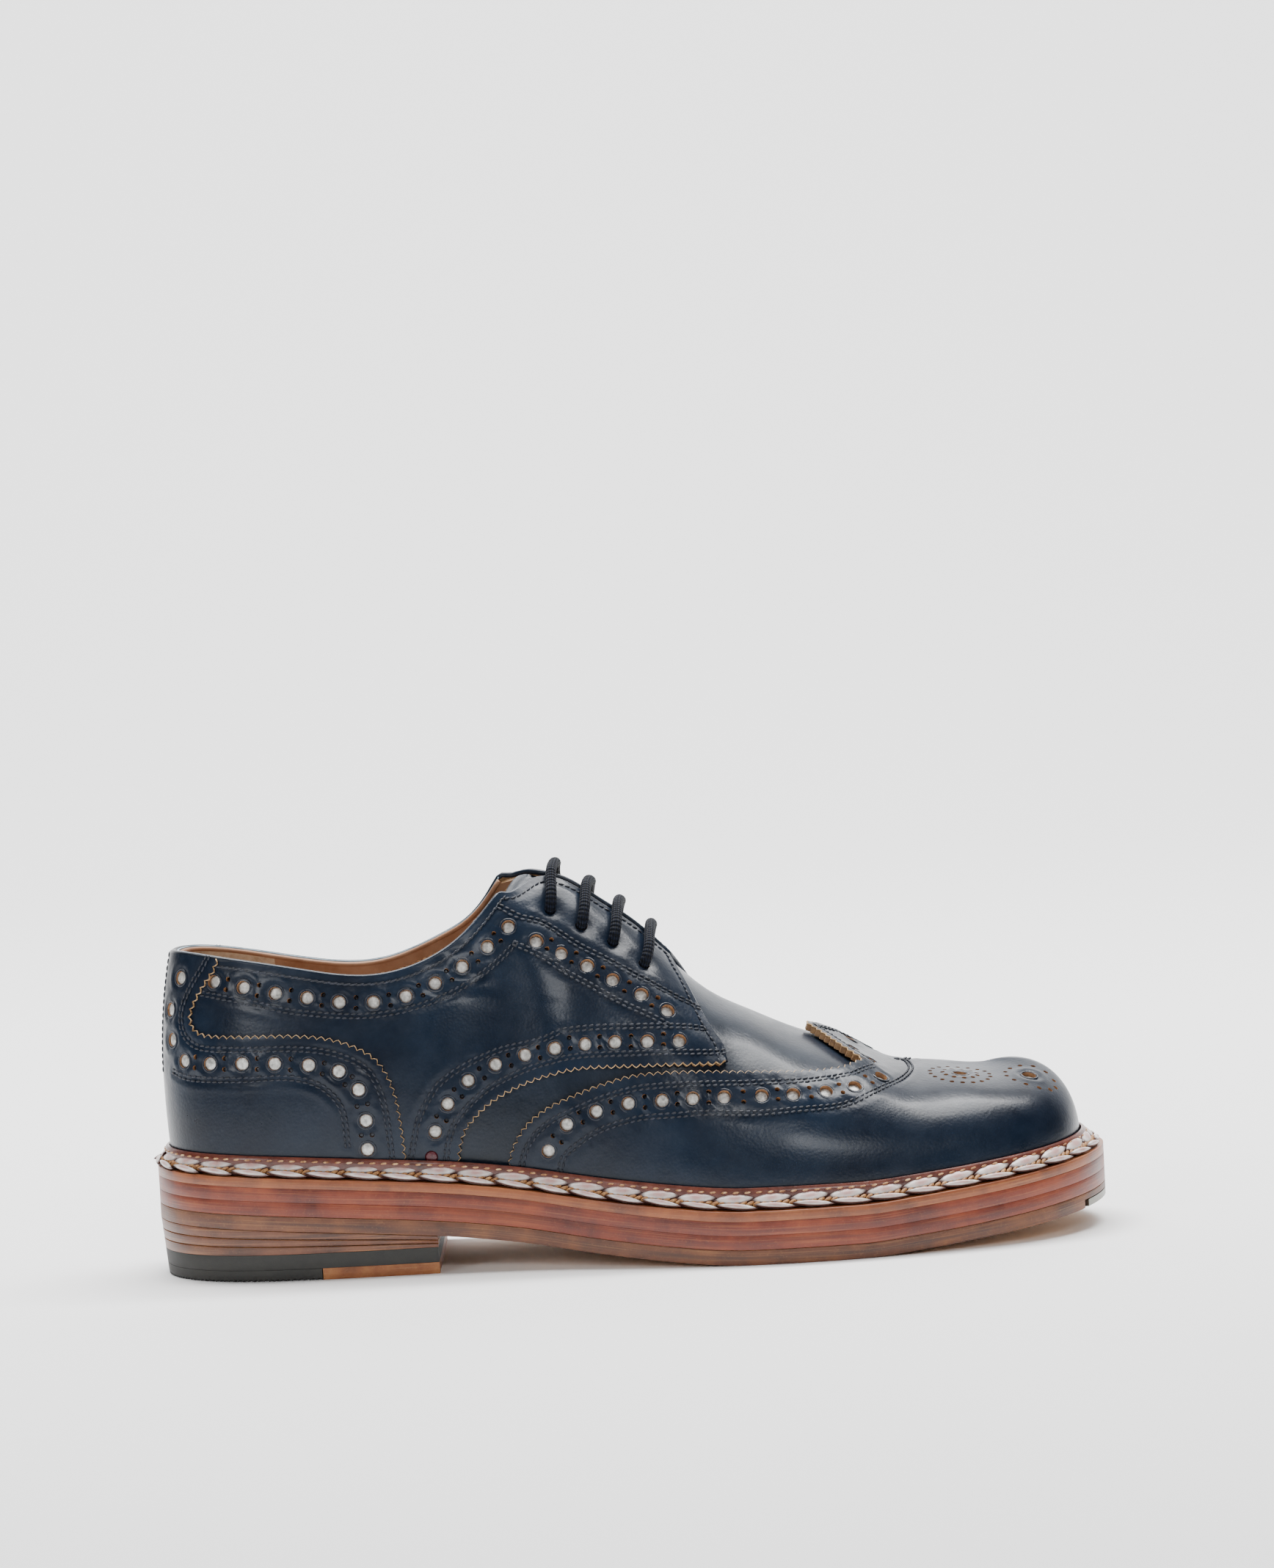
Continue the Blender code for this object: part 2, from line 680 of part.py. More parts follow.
def make_braid(finish):
    """Plain ring that fills the corner of welt and rand."""
    inner = OVERLAY_GAP + COUNTER_WALL + 3 * CLEARANCE + RAND_WALL
    outer = WELT_MARGIN * MARGIN(ROUND) - BRAID_LIP
    middle = (inner + outer) / 2
    half = (outer - inner) / 2
    foot_plan = feather(ROUND)
    rows = []
    for k in range(BRAID_SIDES):
        angle = 2 * math.pi * k / BRAID_SIDES
        plan = foot_plan + plan_normal(ROUND) * (middle + half * math.cos(angle))[:, None]
        lift = CLEARANCE + BRAID_HEIGHT * (1 + math.sin(angle)) / 2
        rows.append(at_height(plan, welt_top(plan[:, 0]) + lift))
    return hoop("welt_braid", rows, finish)


def angle_at(x, side, inset):
    """Rib angle at which the sole's edge reaches x."""
    angles = np.linspace(0.02, math.pi / 2, 400) * side
    line = sole_line(angles, inset)[:, 0]
    return float(np.interp(x, line, angles))


def heel_ring(level, height, start=None):
    """Ring of the heel at a share of its height, from the breast round the back."""
    inset = HEEL_TAPER * (1 - level)
    outer_breast = HEEL_LENGTH - BACK_MARGIN
    inner_breast = outer_breast + BREAST_SKEW * max(0.0, (level - 0.45) / 0.55)
    outer_end = angle_at(outer_breast, -1, inset)
    inner_end = angle_at(inner_breast, 1, inset)
    if start is None:
        shares = np.linspace(1, 0, 12)
        angles = np.concatenate([outer_end * shares, (inner_end * shares[::-1])[1:]])
    else:
        shares = np.linspace(1, 0, 5)
        outer_start = angle_at(start, -1, inset)
        inner_start = angle_at(start, 1, inset)
        angles = np.concatenate([outer_start + (outer_end - outer_start) * shares,
                                 inner_start + (inner_end - inner_start) * shares[::-1]])
    plan = sole_line(angles, inset)
    return at_height(plan, height(plan[:, 0]))


def heel_pairs(count):
    half = count // 2
    if count % 2:
        return [(half, half)] + [(half + i, half - i) for i in range(1, half + 1)]
    return [(half + i, half - 1 - i) for i in range(half)]


def heel_piece(name, low_level, low, high_level, high, finish, start=None, cut=None):
    rings = [heel_ring(low_level, low, start), heel_ring(high_level, high, start)]
    if cut is not None:
        for ring in rings:
            ring[:, 0] = np.minimum(ring[:, 0], cut)
    return stack(name, rings, heel_pairs(len(rings[0])), finish)


def make_heel(leather, rubber):
    flat = lambda value: (lambda x: np.full_like(x, value))
    lifts_from = TOPLIFT_THICKNESS + RUBBER_THICKNESS + 2 * CLEARANCE
    split = TOPLIFT_SPLIT - BACK_MARGIN
    heel_piece("toplift_rubber", 0.0, flat(0.0), 0.2, flat(TOPLIFT_THICKNESS), rubber,
               cut=split)
    heel_piece("toplift_leather", 0.0, flat(0.0), 0.2, flat(TOPLIFT_THICKNESS), leather,
               start=split + CLEARANCE)
    heel_piece("heel_rubber", 0.2, flat(TOPLIFT_THICKNESS + CLEARANCE), 0.45,
               flat(lifts_from - CLEARANCE), rubber)

    def lift_height(share, gap):
        return lambda x: lifts_from + (underside(x) - CLEARANCE - lifts_from) * share + gap
    for k in range(LIFT_COUNT):
        low = k / LIFT_COUNT
        high = (k + 1) / LIFT_COUNT
        heel_piece("heel_lift_%d" % (k + 1), 0.45 + 0.55 * low, lift_height(low, 0.0),
                   0.45 + 0.55 * high, lift_height(high, 0.0 if k == LIFT_COUNT - 1 else -CLEARANCE), leather)


def make_upper(finish):
    """Hollow shell on the last: open at the collar and slot above, and underneath."""
    extra = [SLOT_END, 2 * math.pi - SLOT_END]
    angles = np.array(sorted(list(RIB_ANGLES) + extra))
    shares = np.linspace(0, 1, RIB)
    edge = np.clip(slot_edge(angles), 0, 1)
    rings = []
    for offset, order in ((0.0, shares), (-UPPER_WALL, shares[::-1])):
        for share in order:
            points = skin(angles, edge * share, offset)
            if share == 0.0:
                plan = feather(angles) + plan_normal(angles) * offset
                points = at_height(plan, welt_top(plan[:, 0]) + CLEARANCE)
            rings.append(points)
    return seam_shell("upper", np.array(rings), angles, edge, finish)


def seam_shell(name, rings, angles, edge, finish):
    """Join the rings; where the edge lies on the crown the two sides share their points."""
    count = len(angles)
    half = len(rings) // 2
    points = rings.reshape(-1, 3)
    mirror = {i: int(np.argmin(np.abs(wrap(angles + angles[i])))) for i in range(count)}
    joined = {i: edge[i] > 1 - 1e-6 and abs(wrap(angles[i])) > FUSE_END for i in range(count)}
    index = np.arange(len(points)).reshape(len(rings), count)
    for row in (half - 1, half):
        for i in range(count):
            if joined[i] and mirror[i] < i:
                index[row, i] = index[row, mirror[i]]
    faces = []
    for k in range(len(rings)):
        nxt = (k + 1) % len(rings)
        for i in range(count):
            j = (i + 1) % count
            if k == half - 1 and joined[i] and joined[j]:
                continue
            face = []
            for corner in (index[k, i], index[k, j], index[nxt, j], index[nxt, i]):
                if corner not in face:
                    face.append(int(corner))
            if len(face) > 2:
                faces.append(tuple(face))
    used = sorted({i for face in faces for i in face})
    renumber = {old: new for new, old in enumerate(used)}
    return add_solid(name, points[used], [tuple(renumber[i] for i in face) for face in faces], finish)


def chart(theta, v):
    """The skin laid flat: the crown in plan, the ribs unrolled outwards from it."""
    foot = rib(theta)[0]
    top = rib(theta)[3]
    length = np.linalg.norm(foot - top, axis=-1)
    away = unit(np.stack([-np.cos(theta) * BALL_WIDTH / LAST_LENGTH, np.sin(theta)], -1))
    return top[..., :2] + away * ((1 - np.asarray(v)) * length)[..., None]


def rounded(points, parts=4):
    """A smooth line through a few points."""
    spots = [np.array(p) for p in points]
    spots = [2 * spots[0] - spots[1]] + spots + [2 * spots[-1] - spots[-2]]
    out = []
    for a, b, c, d in zip(spots, spots[1:], spots[2:], spots[3:]):
        for k in range(parts):
            t = k / parts
            out.append(tuple(0.5 * (2 * b + (c - a) * t + (2 * a - 5 * b + 4 * c - d) * t * t
                                    + (3 * b - a - 3 * c + d) * t ** 3)))
    return out + [tuple(points[-1])]


def beside(points, distance):
    """A side-view line moved sideways, to the right of its direction."""
    scale = np.array([LAST_LENGTH, UPPER_HEIGHT])
    line = np.array(points) * scale
    along = unit(np.gradient(line, axis=0))
    right = np.stack([along[:, 1], -along[:, 0]], -1)
    return [tuple(p) for p in (line - right * distance) / scale]


def thicken(line, spacing):
    """Points along an open line of (theta, v), no further apart than the spacing on the skin."""
    out = []
    for (t0, v0), (t1, v1) in zip(line, line[1:]):
        gap = np.linalg.norm(on_skin(np.array(t0), np.array(v0)) - on_skin(np.array(t1), np.array(v1)))
        parts = max(1, int(math.ceil(gap / spacing)))
        out += [(t0 + (t1 - t0) * k / parts, v0 + (v1 - v0) * k / parts) for k in range(parts)]
    return out


def inside(polygon, spots):
    """Even-odd test of many spots against one polygon."""
    x, y = spots[:, 0], spots[:, 1]
    hit = np.zeros(len(spots), bool)
    for (x0, y0), (x1, y1) in zip(polygon, np.roll(polygon, -1, axis=0)):
        crosses = (y0 > y) != (y1 > y)
        at = (x1 - x0) * (y - y0) / np.where(y1 == y0, 1e-12, y1 - y0) + x0
        hit ^= crosses & (x < at)
    return hit


def panel(name, runs, low, high, finish, spacing=0.0078):
    """An overlay cut between two offsets of the skin; each run ends where the next one starts."""
    rim = np.array([spot for run in runs for spot in thicken(run, spacing)])
    flat = chart(rim[:, 0], rim[:, 1])
    turns = np.concatenate([RIB_ANGLES - 2 * math.pi, RIB_ANGLES])
    turns = turns[(turns > rim[:, 0].min()) & (turns < rim[:, 0].max())]
    levels = np.arange(1, RIB) / (RIB - 1)
    grid = np.array([(t, v * float(slot_edge(np.array(t)))) for t in turns for v in levels
                     if v < 1.0 or SLOT_END < t <= math.pi])
    spots = chart(grid[:, 0], grid[:, 1])
    keep = inside(flat, spots)
    far = np.array([np.min(np.linalg.norm(flat - spot, axis=1)) for spot in spots]) > spacing * 0.45
    grid = grid[keep & far]
    points = np.concatenate([rim, grid])
    laid = chart(points[:, 0], points[:, 1])
    edges = [(i, (i + 1) % len(rim)) for i in range(len(rim))]
    made = delaunay_2d_cdt([tuple(p) for p in laid], edges, [], 1, 1e-9)
    source = [group[0] for group in made[3]]
    theta, v = points[source, 0], points[source, 1]
    count = len(source)
    faces = [tuple(face) for face in made[2]]
    seen = {}
    for face in faces:
        for a, b in zip(face, face[1:] + face[:1]):
            seen[(a, b)] = face
    walls = [(b, a, a + count, b + count) for a, b in seen if (b, a) not in seen]
    solid_faces = [tuple(i + count for i in reversed(face)) for face in faces] + faces + walls
    both = np.concatenate([skin(theta, v, high), skin(theta, v, low)])
    return add_solid(name, both, solid_faces, finish)


def edge_run(start, stop, count):
    """Points along the facing's edge and the collar, on the outer side."""
    angles = -np.linspace(start, stop, count)
    return list(zip(angles, slot_edge(angles)))


def make_quarters(finish):
    low = OVERLAY_GAP
    high = OVERLAY_GAP + QUARTER_WALL
    lower = from_side(rounded(QUARTER_LOWER))
    front = from_side(rounded([QUARTER_LOWER[-1]] + list(QUARTER_FRONT)))
    rear = from_side(beside(rounded(COUNTER_EDGE), QUARTER_GAP))
    facing = edge_run(-front[-1][0], -rear[0][0], 28)
    rear[0] = facing[-1]
    bottom = [rear[-1], lower[0]]
    runs = [lower, front, [front[-1], facing[0]], facing, rear, bottom]
    panel("quarter_lateral", runs, low, high, finish)
    panel("quarter_medial", [[(-t, v) for t, v in run] for run in runs], low, high, finish)


def make_counter(finish):
    edge = from_side(rounded(COUNTER_EDGE))
    edge[0] = (edge[0][0], 1.0)
    mirrored = [(-t, v) for t, v in edge]
    collar = [(t, 1.0) for t in np.linspace(edge[0][0], mirrored[0][0], 9)]
    welt = [(t, edge[-1][1]) for t in np.linspace(mirrored[-1][0], edge[-1][0], 25)]
    panel("counter", [collar, mirrored, welt, edge[::-1]], OVERLAY_GAP, OVERLAY_GAP + COUNTER_WALL, finish)


def make_wing(finish):
    """Toe cap with its two wings and the peak between them."""
    turn = 2 * math.pi
    edge = from_side(rounded(WING_EDGE)) + from_plan(WING_TOP)
    peak = crown_angle(WING_PEAK)
    outer = [(t + turn, v) for t, v in edge]
    inner = [(-t, v) for t, v in edge]
    welt = [(t, edge[0][1]) for t in np.linspace(inner[0][0], outer[0][0], 45)]
    runs = [outer, [outer[-1], (turn - peak, 1.0)], [(peak, 1.0), inner[-1]], inner[::-1], welt]
    panel("wing_cap", runs, OVERLAY_GAP, OVERLAY_GAP + QUARTER_WALL, finish)


def crown_angle(share):
    """Rib angle at which the crown reaches a share of the last's length."""
    angles = np.linspace(FUSE_END, math.pi, 400)
    return float(np.interp(share * LAST_LENGTH, top_point(angles)[:, 0], angles))


def make_tongue(finish):
    """Curved flap under the facings; its end stands a little above the collar."""
    half = np.linspace(TONGUE_START, TONGUE_STOP, 14)
    across = np.linspace(0.0, 1.0, 7)
    reach = TONGUE_REACH - TONGUE_NARROWS * (half - TONGUE_START) / (TONGUE_STOP - TONGUE_START)
    stand = TONGUE_STAND * (1 - ease(TONGUE_START, SLOT_TOP, half))
    under = UPPER_WALL + TONGUE_GAP
    rows = []
    for angle, width, above in zip(half, reach, stand):
        outer = [(-angle, 1.0 + above - (width + above) * (1 - s)) for s in across]
        inner = [(angle, 1.0 + above - (width + above) * s) for s in across]
        rows.append(outer + inner)
    grid = np.array(rows)
    top = skin(grid[..., 0], grid[..., 1], -under)
    low = skin(grid[..., 0], grid[..., 1], -under - TONGUE_WALL)
    return sheet_solid("tongue", top, low, finish)


def over_crown(along, side, offset):
    """Point above the skin at a place in plan near the facings."""
    sign = 1.0 if side > 0 else -1.0
    angles, heights = np.meshgrid(sign * np.linspace(1.2, 2.0, 120), np.linspace(0.5, 1, 90), indexing="ij")
    cloud = on_skin(angles, heights)
    theta, v = nearest(cloud, angles, heights, (0, 1), (along * LAST_LENGTH, side * BALL_WIDTH))
    return skin(np.array(theta), np.array(v), offset)


def make_lace_bar(number, along, side, finish):
    """One taut crossing of the lace, from hole to hole over the facings."""
    radius = LACE_DIAMETER / 2
    rest = OVERLAY_GAP + QUARTER_WALL + LACE_GAP + radius
    outer = [over_crown(along, -side * share, rest) for share in LACE_STOPS]
    inner = [over_crown(along, side * share, rest) for share in LACE_STOPS[::-1]]
    middle = (outer[-1] + inner[0]) / 2 + np.array([0.0, 0.0, LACE_LIFT])
    path = np.array(rounded(outer + [middle] + inner, parts=2))
    tangents = unit(np.gradient(path, axis=0))
    forward = np.array([1.0, 0.0, 0.0])
    points = []
    for spot, way in zip(path, tangents):
        across = unit(np.cross(way, forward))
        ahead = np.cross(across, way)
        for k in range(LACE_SIDES):
            angle = 2 * math.pi * (k + 0.5) / LACE_SIDES
            points.append(spot + (across * math.cos(angle) + ahead * math.sin(angle)) * radius)
    faces = [tuple(range(LACE_SIDES))]
    for k in range(len(path) - 1):
        faces += between(k * LACE_SIDES, (k + 1) * LACE_SIDES, LACE_SIDES)
    last = (len(path) - 1) * LACE_SIDES
    faces.append(tuple(range(last, last + LACE_SIDES)))
    return add_solid("lace_bar_%d" % number, points, faces, finish)


def sheet_solid(name, top, low, finish):
    rows, columns = top.shape[:2]
    index = np.arange(rows * columns).reshape(rows, columns)
    shift = rows * columns
    faces = []
    for i in range(rows - 1):
        for j in range(columns - 1):
            face = (index[i, j], index[i, j + 1], index[i + 1, j + 1], index[i + 1, j])
            faces.append(tuple(int(k) for k in face))
            faces.append(tuple(int(k) + shift for k in reversed(face)))
    rim = list(index[0, :]) + list(index[1:, -1]) + list(index[-1, :-1][::-1]) + list(index[1:-1, 0][::-1])
    for a, b in zip(rim, rim[1:] + rim[:1]):
        faces.append((int(b), int(a), int(a) + shift, int(b) + shift))
    return add_solid(name, np.concatenate([top.reshape(-1, 3), low.reshape(-1, 3)]), faces, finish)


for thing in list(bpy.data.objects):
    bpy.data.objects.remove(thing)

NAVY = material("navy calf", (0.012, 0.022, 0.045), 0.28)
LINING = material("tan lining", (0.42, 0.19, 0.08), 0.6)
SOLE_RED = material("burnished sole leather", (0.26, 0.07, 0.035), 0.4)
SOLE_TAN = material("tan welt leather", (0.30, 0.13, 0.05), 0.45)
SOLE_DARK = material("dark sole leather", (0.12, 0.055, 0.03), 0.5)
RUBBER = material("black rubber", (0.03, 0.03, 0.028), 0.7)
BRAID = material("waxed plait", (0.75, 0.70, 0.66), 0.4)
STEEL = material("steel", (0.5, 0.5, 0.48), 0.35, 1.0)
LACE = material("navy cord", (0.012, 0.016, 0.035), 0.6)

mid_1 = OUTSOLE_THICKNESS + CLEARANCE
mid_2 = mid_1 + MIDSOLE_THICKNESS + CLEARANCE
welt_low = mid_2 + MIDSOLE_THICKNESS + CLEARANCE
make_outsole(SOLE_DARK)
make_toe_plate(STEEL)
sole_layer("midsole_lower", mid_1, mid_1 + MIDSOLE_THICKNESS, 0.0, SOLE_RED)
sole_layer("midsole_upper", mid_2, mid_2 + MIDSOLE_THICKNESS, 0.0, SOLE_RED)
make_welt(welt_low, SOLE_TAN)
make_insole(welt_low, LINING)
make_heel(SOLE_DARK, RUBBER)
make_upper(NAVY)
make_tongue(NAVY)
make_rand(SOLE_RED)
make_braid(BRAID)
make_quarters(NAVY)
make_counter(NAVY)
make_wing(NAVY)
for number, (along, side) in enumerate(EYELET_ROWS, 1):
    make_lace_bar(number, along, side, LACE)
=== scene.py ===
import json
import math

import bmesh
import bpy
import numpy as np
from mathutils import Matrix, Vector, kdtree
from mathutils.geometry import delaunay_2d_cdt

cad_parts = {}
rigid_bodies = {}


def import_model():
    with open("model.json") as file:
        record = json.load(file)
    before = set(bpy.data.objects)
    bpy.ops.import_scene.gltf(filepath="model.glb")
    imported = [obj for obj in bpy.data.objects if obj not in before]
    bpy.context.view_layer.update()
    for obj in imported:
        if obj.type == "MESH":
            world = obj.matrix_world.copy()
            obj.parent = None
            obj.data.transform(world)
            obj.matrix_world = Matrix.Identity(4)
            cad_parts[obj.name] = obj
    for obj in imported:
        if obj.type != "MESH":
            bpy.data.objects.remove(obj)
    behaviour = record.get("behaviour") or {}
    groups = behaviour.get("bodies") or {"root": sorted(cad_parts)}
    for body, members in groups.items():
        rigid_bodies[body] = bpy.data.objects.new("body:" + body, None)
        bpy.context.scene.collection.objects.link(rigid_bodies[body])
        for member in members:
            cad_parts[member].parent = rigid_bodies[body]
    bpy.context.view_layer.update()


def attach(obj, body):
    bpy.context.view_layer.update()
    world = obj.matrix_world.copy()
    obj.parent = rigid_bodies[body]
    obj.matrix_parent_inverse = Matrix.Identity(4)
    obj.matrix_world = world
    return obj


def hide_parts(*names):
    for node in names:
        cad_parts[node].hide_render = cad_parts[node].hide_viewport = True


for item in list(bpy.data.objects):
    bpy.data.objects.remove(item)
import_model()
pi = math.pi

# right shoe, toe to +X, outer side to -Y; every length is in metres unless its name says otherwise

# camera: where the photograph was taken from
camera = {
    "elevation": 6.5,            # degrees above the floor, at the shoe
    "roll": 3.2,                 # degrees, the shoe runs down to the right
    "distance": 1.5,
    "pixelsPerMetre": 4230.0,    # of the photograph, at the aim point
    "aim": (0.0, 0.0, 0.06),
    "aimPixel": (853.0, 1443.5),
    "imageSize": (1736, 2137),
}


def turned(vector, axis, angle):
    axis = axis / np.linalg.norm(axis)
    return (vector * math.cos(angle) + np.cross(axis, vector) * math.sin(angle)
            + axis * np.dot(axis, vector) * (1 - math.cos(angle)))


def cameraAxes():
    up = math.radians(camera["elevation"])
    roll = math.radians(camera["roll"])
    right0 = np.array([1.0, 0.0, 0.0])
    up0 = np.array([0.0, math.sin(up), math.cos(up)])
    view0 = np.array([0.0, math.cos(up), -math.sin(up)])
    right = math.cos(roll) * right0 - math.sin(roll) * up0
    upward = math.sin(roll) * right0 + math.cos(roll) * up0
    place = np.array(camera["aim"]) - camera["distance"] * view0
    focal = camera["distance"] * camera["pixelsPerMetre"]
    centre = np.array(camera["imageSize"]) / 2
    off = (np.array(camera["aimPixel"]) - centre) / focal
    pitch = math.atan(off[1])
    view = turned(view0, right, pitch)
    upward = turned(upward, right, pitch)
    yaw = math.atan(off[0] * math.cos(pitch))
    return place, turned(right, upward, yaw), upward, turned(view, upward, yaw), focal, centre


camPlace, camRight, camUp, camView, focalPixels, imageCentre = cameraAxes()


def toPixel(points):
    away = np.asarray(points) - camPlace
    depth = away @ camView
    return np.stack([imageCentre[0] + focalPixels * (away @ camRight) / depth,
                     imageCentre[1] - focalPixels * (away @ camUp) / depth], -1)


def makeCamera():
    data = bpy.data.cameras.new("photoCamera")
    data.sensor_width = 36.0
    data.lens = data.sensor_width * focalPixels / camera["imageSize"][1]
    made = bpy.data.objects.new("photoCamera", data)
    rows = [[camRight[i], camUp[i], -camView[i], camPlace[i]] for i in range(3)] + [[0, 0, 0, 1]]
    made.matrix_world = Matrix(rows)
    bpy.context.scene.collection.objects.link(made)
    bpy.context.scene.camera = made


makeCamera()
print("camera set")

# the last: sizes, and short tables of shares of them, heel to toe
last = {
    "length": 0.2876,
    "ball": 0.0945,              # width of the feather line at the ball
    "height": 0.1000,            # welt to crown
    "wall": 0.0014,
    "gap": 0.0006,               # upper to overlay
    "quarterWall": 0.0012,
    "counterWall": 0.0018,
    "seatRise": 0.0184,
    "toeSpring": 0.0086,
    "outsole": 0.0046,
    "midsole": 0.0041,
    "welt": 0.0029,
    "weltMargin": 0.0095,
    "clearance": 0.0003,
    "slotHalf": 0.0066,
    "slotTop": 1.43,             # rib angles of the lacing slot
    "slotEnd": 1.815,
    "fuse": (1.42, 1.54),        # rib angles where the two top lines meet
    "cant": 0.06,
}
# along, outer side, inner side of the feather line
featherRows = [
    (0.000, 0.000, 0.000), (0.025, 0.192, 0.190), (0.077, 0.286, 0.281), (0.162, 0.323, 0.312),
    (0.248, 0.328, 0.307), (0.333, 0.333, 0.281), (0.408, 0.359, 0.271), (0.487, 0.417, 0.302),
    (0.573, 0.479, 0.391), (0.658, 0.505, 0.474), (0.744, 0.489, 0.497), (0.829, 0.440, 0.464),
    (0.908, 0.370, 0.390), (0.966, 0.250, 0.285), (1.000, -0.020, 0.020),
]
# along, then of the top line: along, outer side, inner side, outer height, inner height
topRows = [
    (0.000, 0.011, 0.000, 0.000, 0.679, 0.679), (0.025, 0.028, 0.120, 0.120, 0.681, 0.683),
    (0.077, 0.075, 0.214, 0.208, 0.670, 0.668), (0.162, 0.156, 0.276, 0.266, 0.644, 0.633),
    (0.248, 0.236, 0.292, 0.276, 0.638, 0.643), (0.333, 0.307, 0.260, 0.240, 0.722, 0.744),
    (0.408, 0.359, 0.182, 0.161, 0.875, 0.900), (0.450, 0.394, 0.099, 0.083, 0.985, 1.030),
    (0.487, 0.434, 0.000, 0.000, 1.007, 1.007), (0.530, 0.476, 0.000, 0.000, 0.936, 0.936),
    (0.573, 0.517, -0.003, 0.003, 0.857, 0.857), (0.615, 0.557, -0.006, 0.006, 0.750, 0.750),
    (0.658, 0.597, -0.016, 0.016, 0.643, 0.643), (0.700, 0.637, -0.026, 0.026, 0.577, 0.577),
    (0.744, 0.680, -0.036, 0.036, 0.516, 0.516), (0.787, 0.722, -0.052, 0.052, 0.460, 0.460),
    (0.829, 0.763, -0.068, 0.068, 0.389, 0.389), (0.870, 0.801, -0.083, 0.083, 0.335, 0.335),
    (0.908, 0.838, -0.094, 0.094, 0.307, 0.307), (0.950, 0.874, -0.104, 0.104, 0.280, 0.280),
    (1.000, 0.909, -0.104, 0.104, 0.262, 0.262),
]
# along, rise, outer flare, inner flare, reach, turn of the ribs
wallRows = [
    (0.000, 0.40, 4.0, 4.0, 0.33, 13.5), (0.077, 0.40, 5.0, 5.0, 0.33, 12.0),
    (0.162, 0.40, 7.0, 6.0, 0.33, 12.0), (0.248, 0.40, 8.0, 4.0, 0.33, 13.0),
    (0.333, 0.38, 6.0, 2.0, 0.30, 20.0), (0.408, 0.36, 4.0, 0.0, 0.28, 38.0),
    (0.450, 0.35, 3.0, 0.0, 0.27, 58.0), (0.487, 0.34, 3.0, 0.0, 0.27, 78.0),
    (0.530, 0.34, 3.0, 1.0, 0.28, 88.0), (0.573, 0.34, 4.0, 2.0, 0.30, 90.0),
    (0.658, 0.36, 6.0, 5.0, 0.36, 90.0), (0.744, 0.38, 7.0, 6.0, 0.42, 90.0),
    (0.829, 0.42, 6.0, 6.0, 0.45, 90.0), (0.908, 0.46, 5.0, 5.0, 0.48, 90.0),
    (1.000, 0.50, 3.0, 3.0, 0.50, 90.0),
]
marginRows = [(0.0, 0.77), (0.077, 0.84), (0.248, 0.87), (0.45, 0.90), (0.6, 1.0), (0.8, 1.0),
              (0.95, 0.93), (1.0, 0.96)]
# along, share of the seat rise, share of the toe spring
profileRows = [
    (0.000, 1.000, 0.000), (0.100, 0.908, 0.000), (0.200, 0.793, 0.000), (0.300, 0.652, 0.000),
    (0.380, 0.485, 0.000), (0.460, 0.262, 0.000), (0.540, 0.092, 0.000), (0.590, 0.016, 0.000),
    (0.615, 0.000, 0.000), (0.730, 0.000, 0.000), (0.800, 0.000, 0.170), (0.880, 0.000, 0.450),
    (0.940, 0.000, 0.710), (1.000, 0.000, 1.000),
]


def monotone(stations, values, where):
    x, y = np.array(stations, float), np.array(values, float)
    step = np.diff(x)
    rise = np.diff(y) / step
    slope = np.zeros_like(y)
    for i in range(1, len(x) - 1):
        if rise[i - 1] * rise[i] > 0:
            left, right = 2 * step[i] + step[i - 1], step[i] + 2 * step[i - 1]
            slope[i] = (left + right) / (left / rise[i - 1] + right / rise[i])
    slope[0], slope[-1] = rise[0], rise[-1]
    where = np.clip(where, x[0], x[-1])
    k = np.clip(np.searchsorted(x, where, side="right") - 1, 0, len(x) - 2)
    t = (where - x[k]) / step[k]
    return ((1 + 2 * t) * (1 - t) ** 2 * y[k] + t * (1 - t) ** 2 * step[k] * slope[k]
            + t * t * (3 - 2 * t) * y[k + 1] + t * t * (t - 1) * step[k] * slope[k + 1])


def closedSpline(angles, values):
    knots, y = np.array(angles, float), np.array(values, float)
    count = len(knots)
    step = np.diff(np.append(knots, knots[0] + 2 * pi))
    bend, load = np.zeros((count, count)), np.zeros(count)
    for i in range(count):
        before, after, nxt = step[i - 1], step[i], (i + 1) % count
        bend[i, i - 1] += before
        bend[i, i] += 2 * (before + after)
        bend[i, nxt] += after
        load[i] = 6 * ((y[nxt] - y[i]) / after - (y[i] - y[i - 1]) / before)
    curve = np.linalg.solve(bend, load)

    def value(theta):
        turn = (np.asarray(theta, float) - knots[0]) % (2 * pi) + knots[0]
        k = np.clip(np.searchsorted(knots, turn, side="right") - 1, 0, count - 1)
        n = (k + 1) % count
        a = (knots[k] + step[k] - turn) / step[k]
        b = 1 - a
        bend = (a ** 3 - a) * curve[k] + (b ** 3 - b) * curve[n]
        return a * y[k] + b * y[n] + bend * step[k] ** 2 / 6
    return value


def loopOf(rows, outer, inner, outerSign=1.0):
    angles = [math.acos(1 - 2 * row[0]) for row in rows]
    outerPart = [(-angle, outerSign * row[outer]) for angle, row in zip(angles, rows)][1:-1]
    both = sorted(outerPart + [(angle, row[inner]) for angle, row in zip(angles, rows)])
    return closedSpline([item[0] for item in both], [item[1] for item in both])


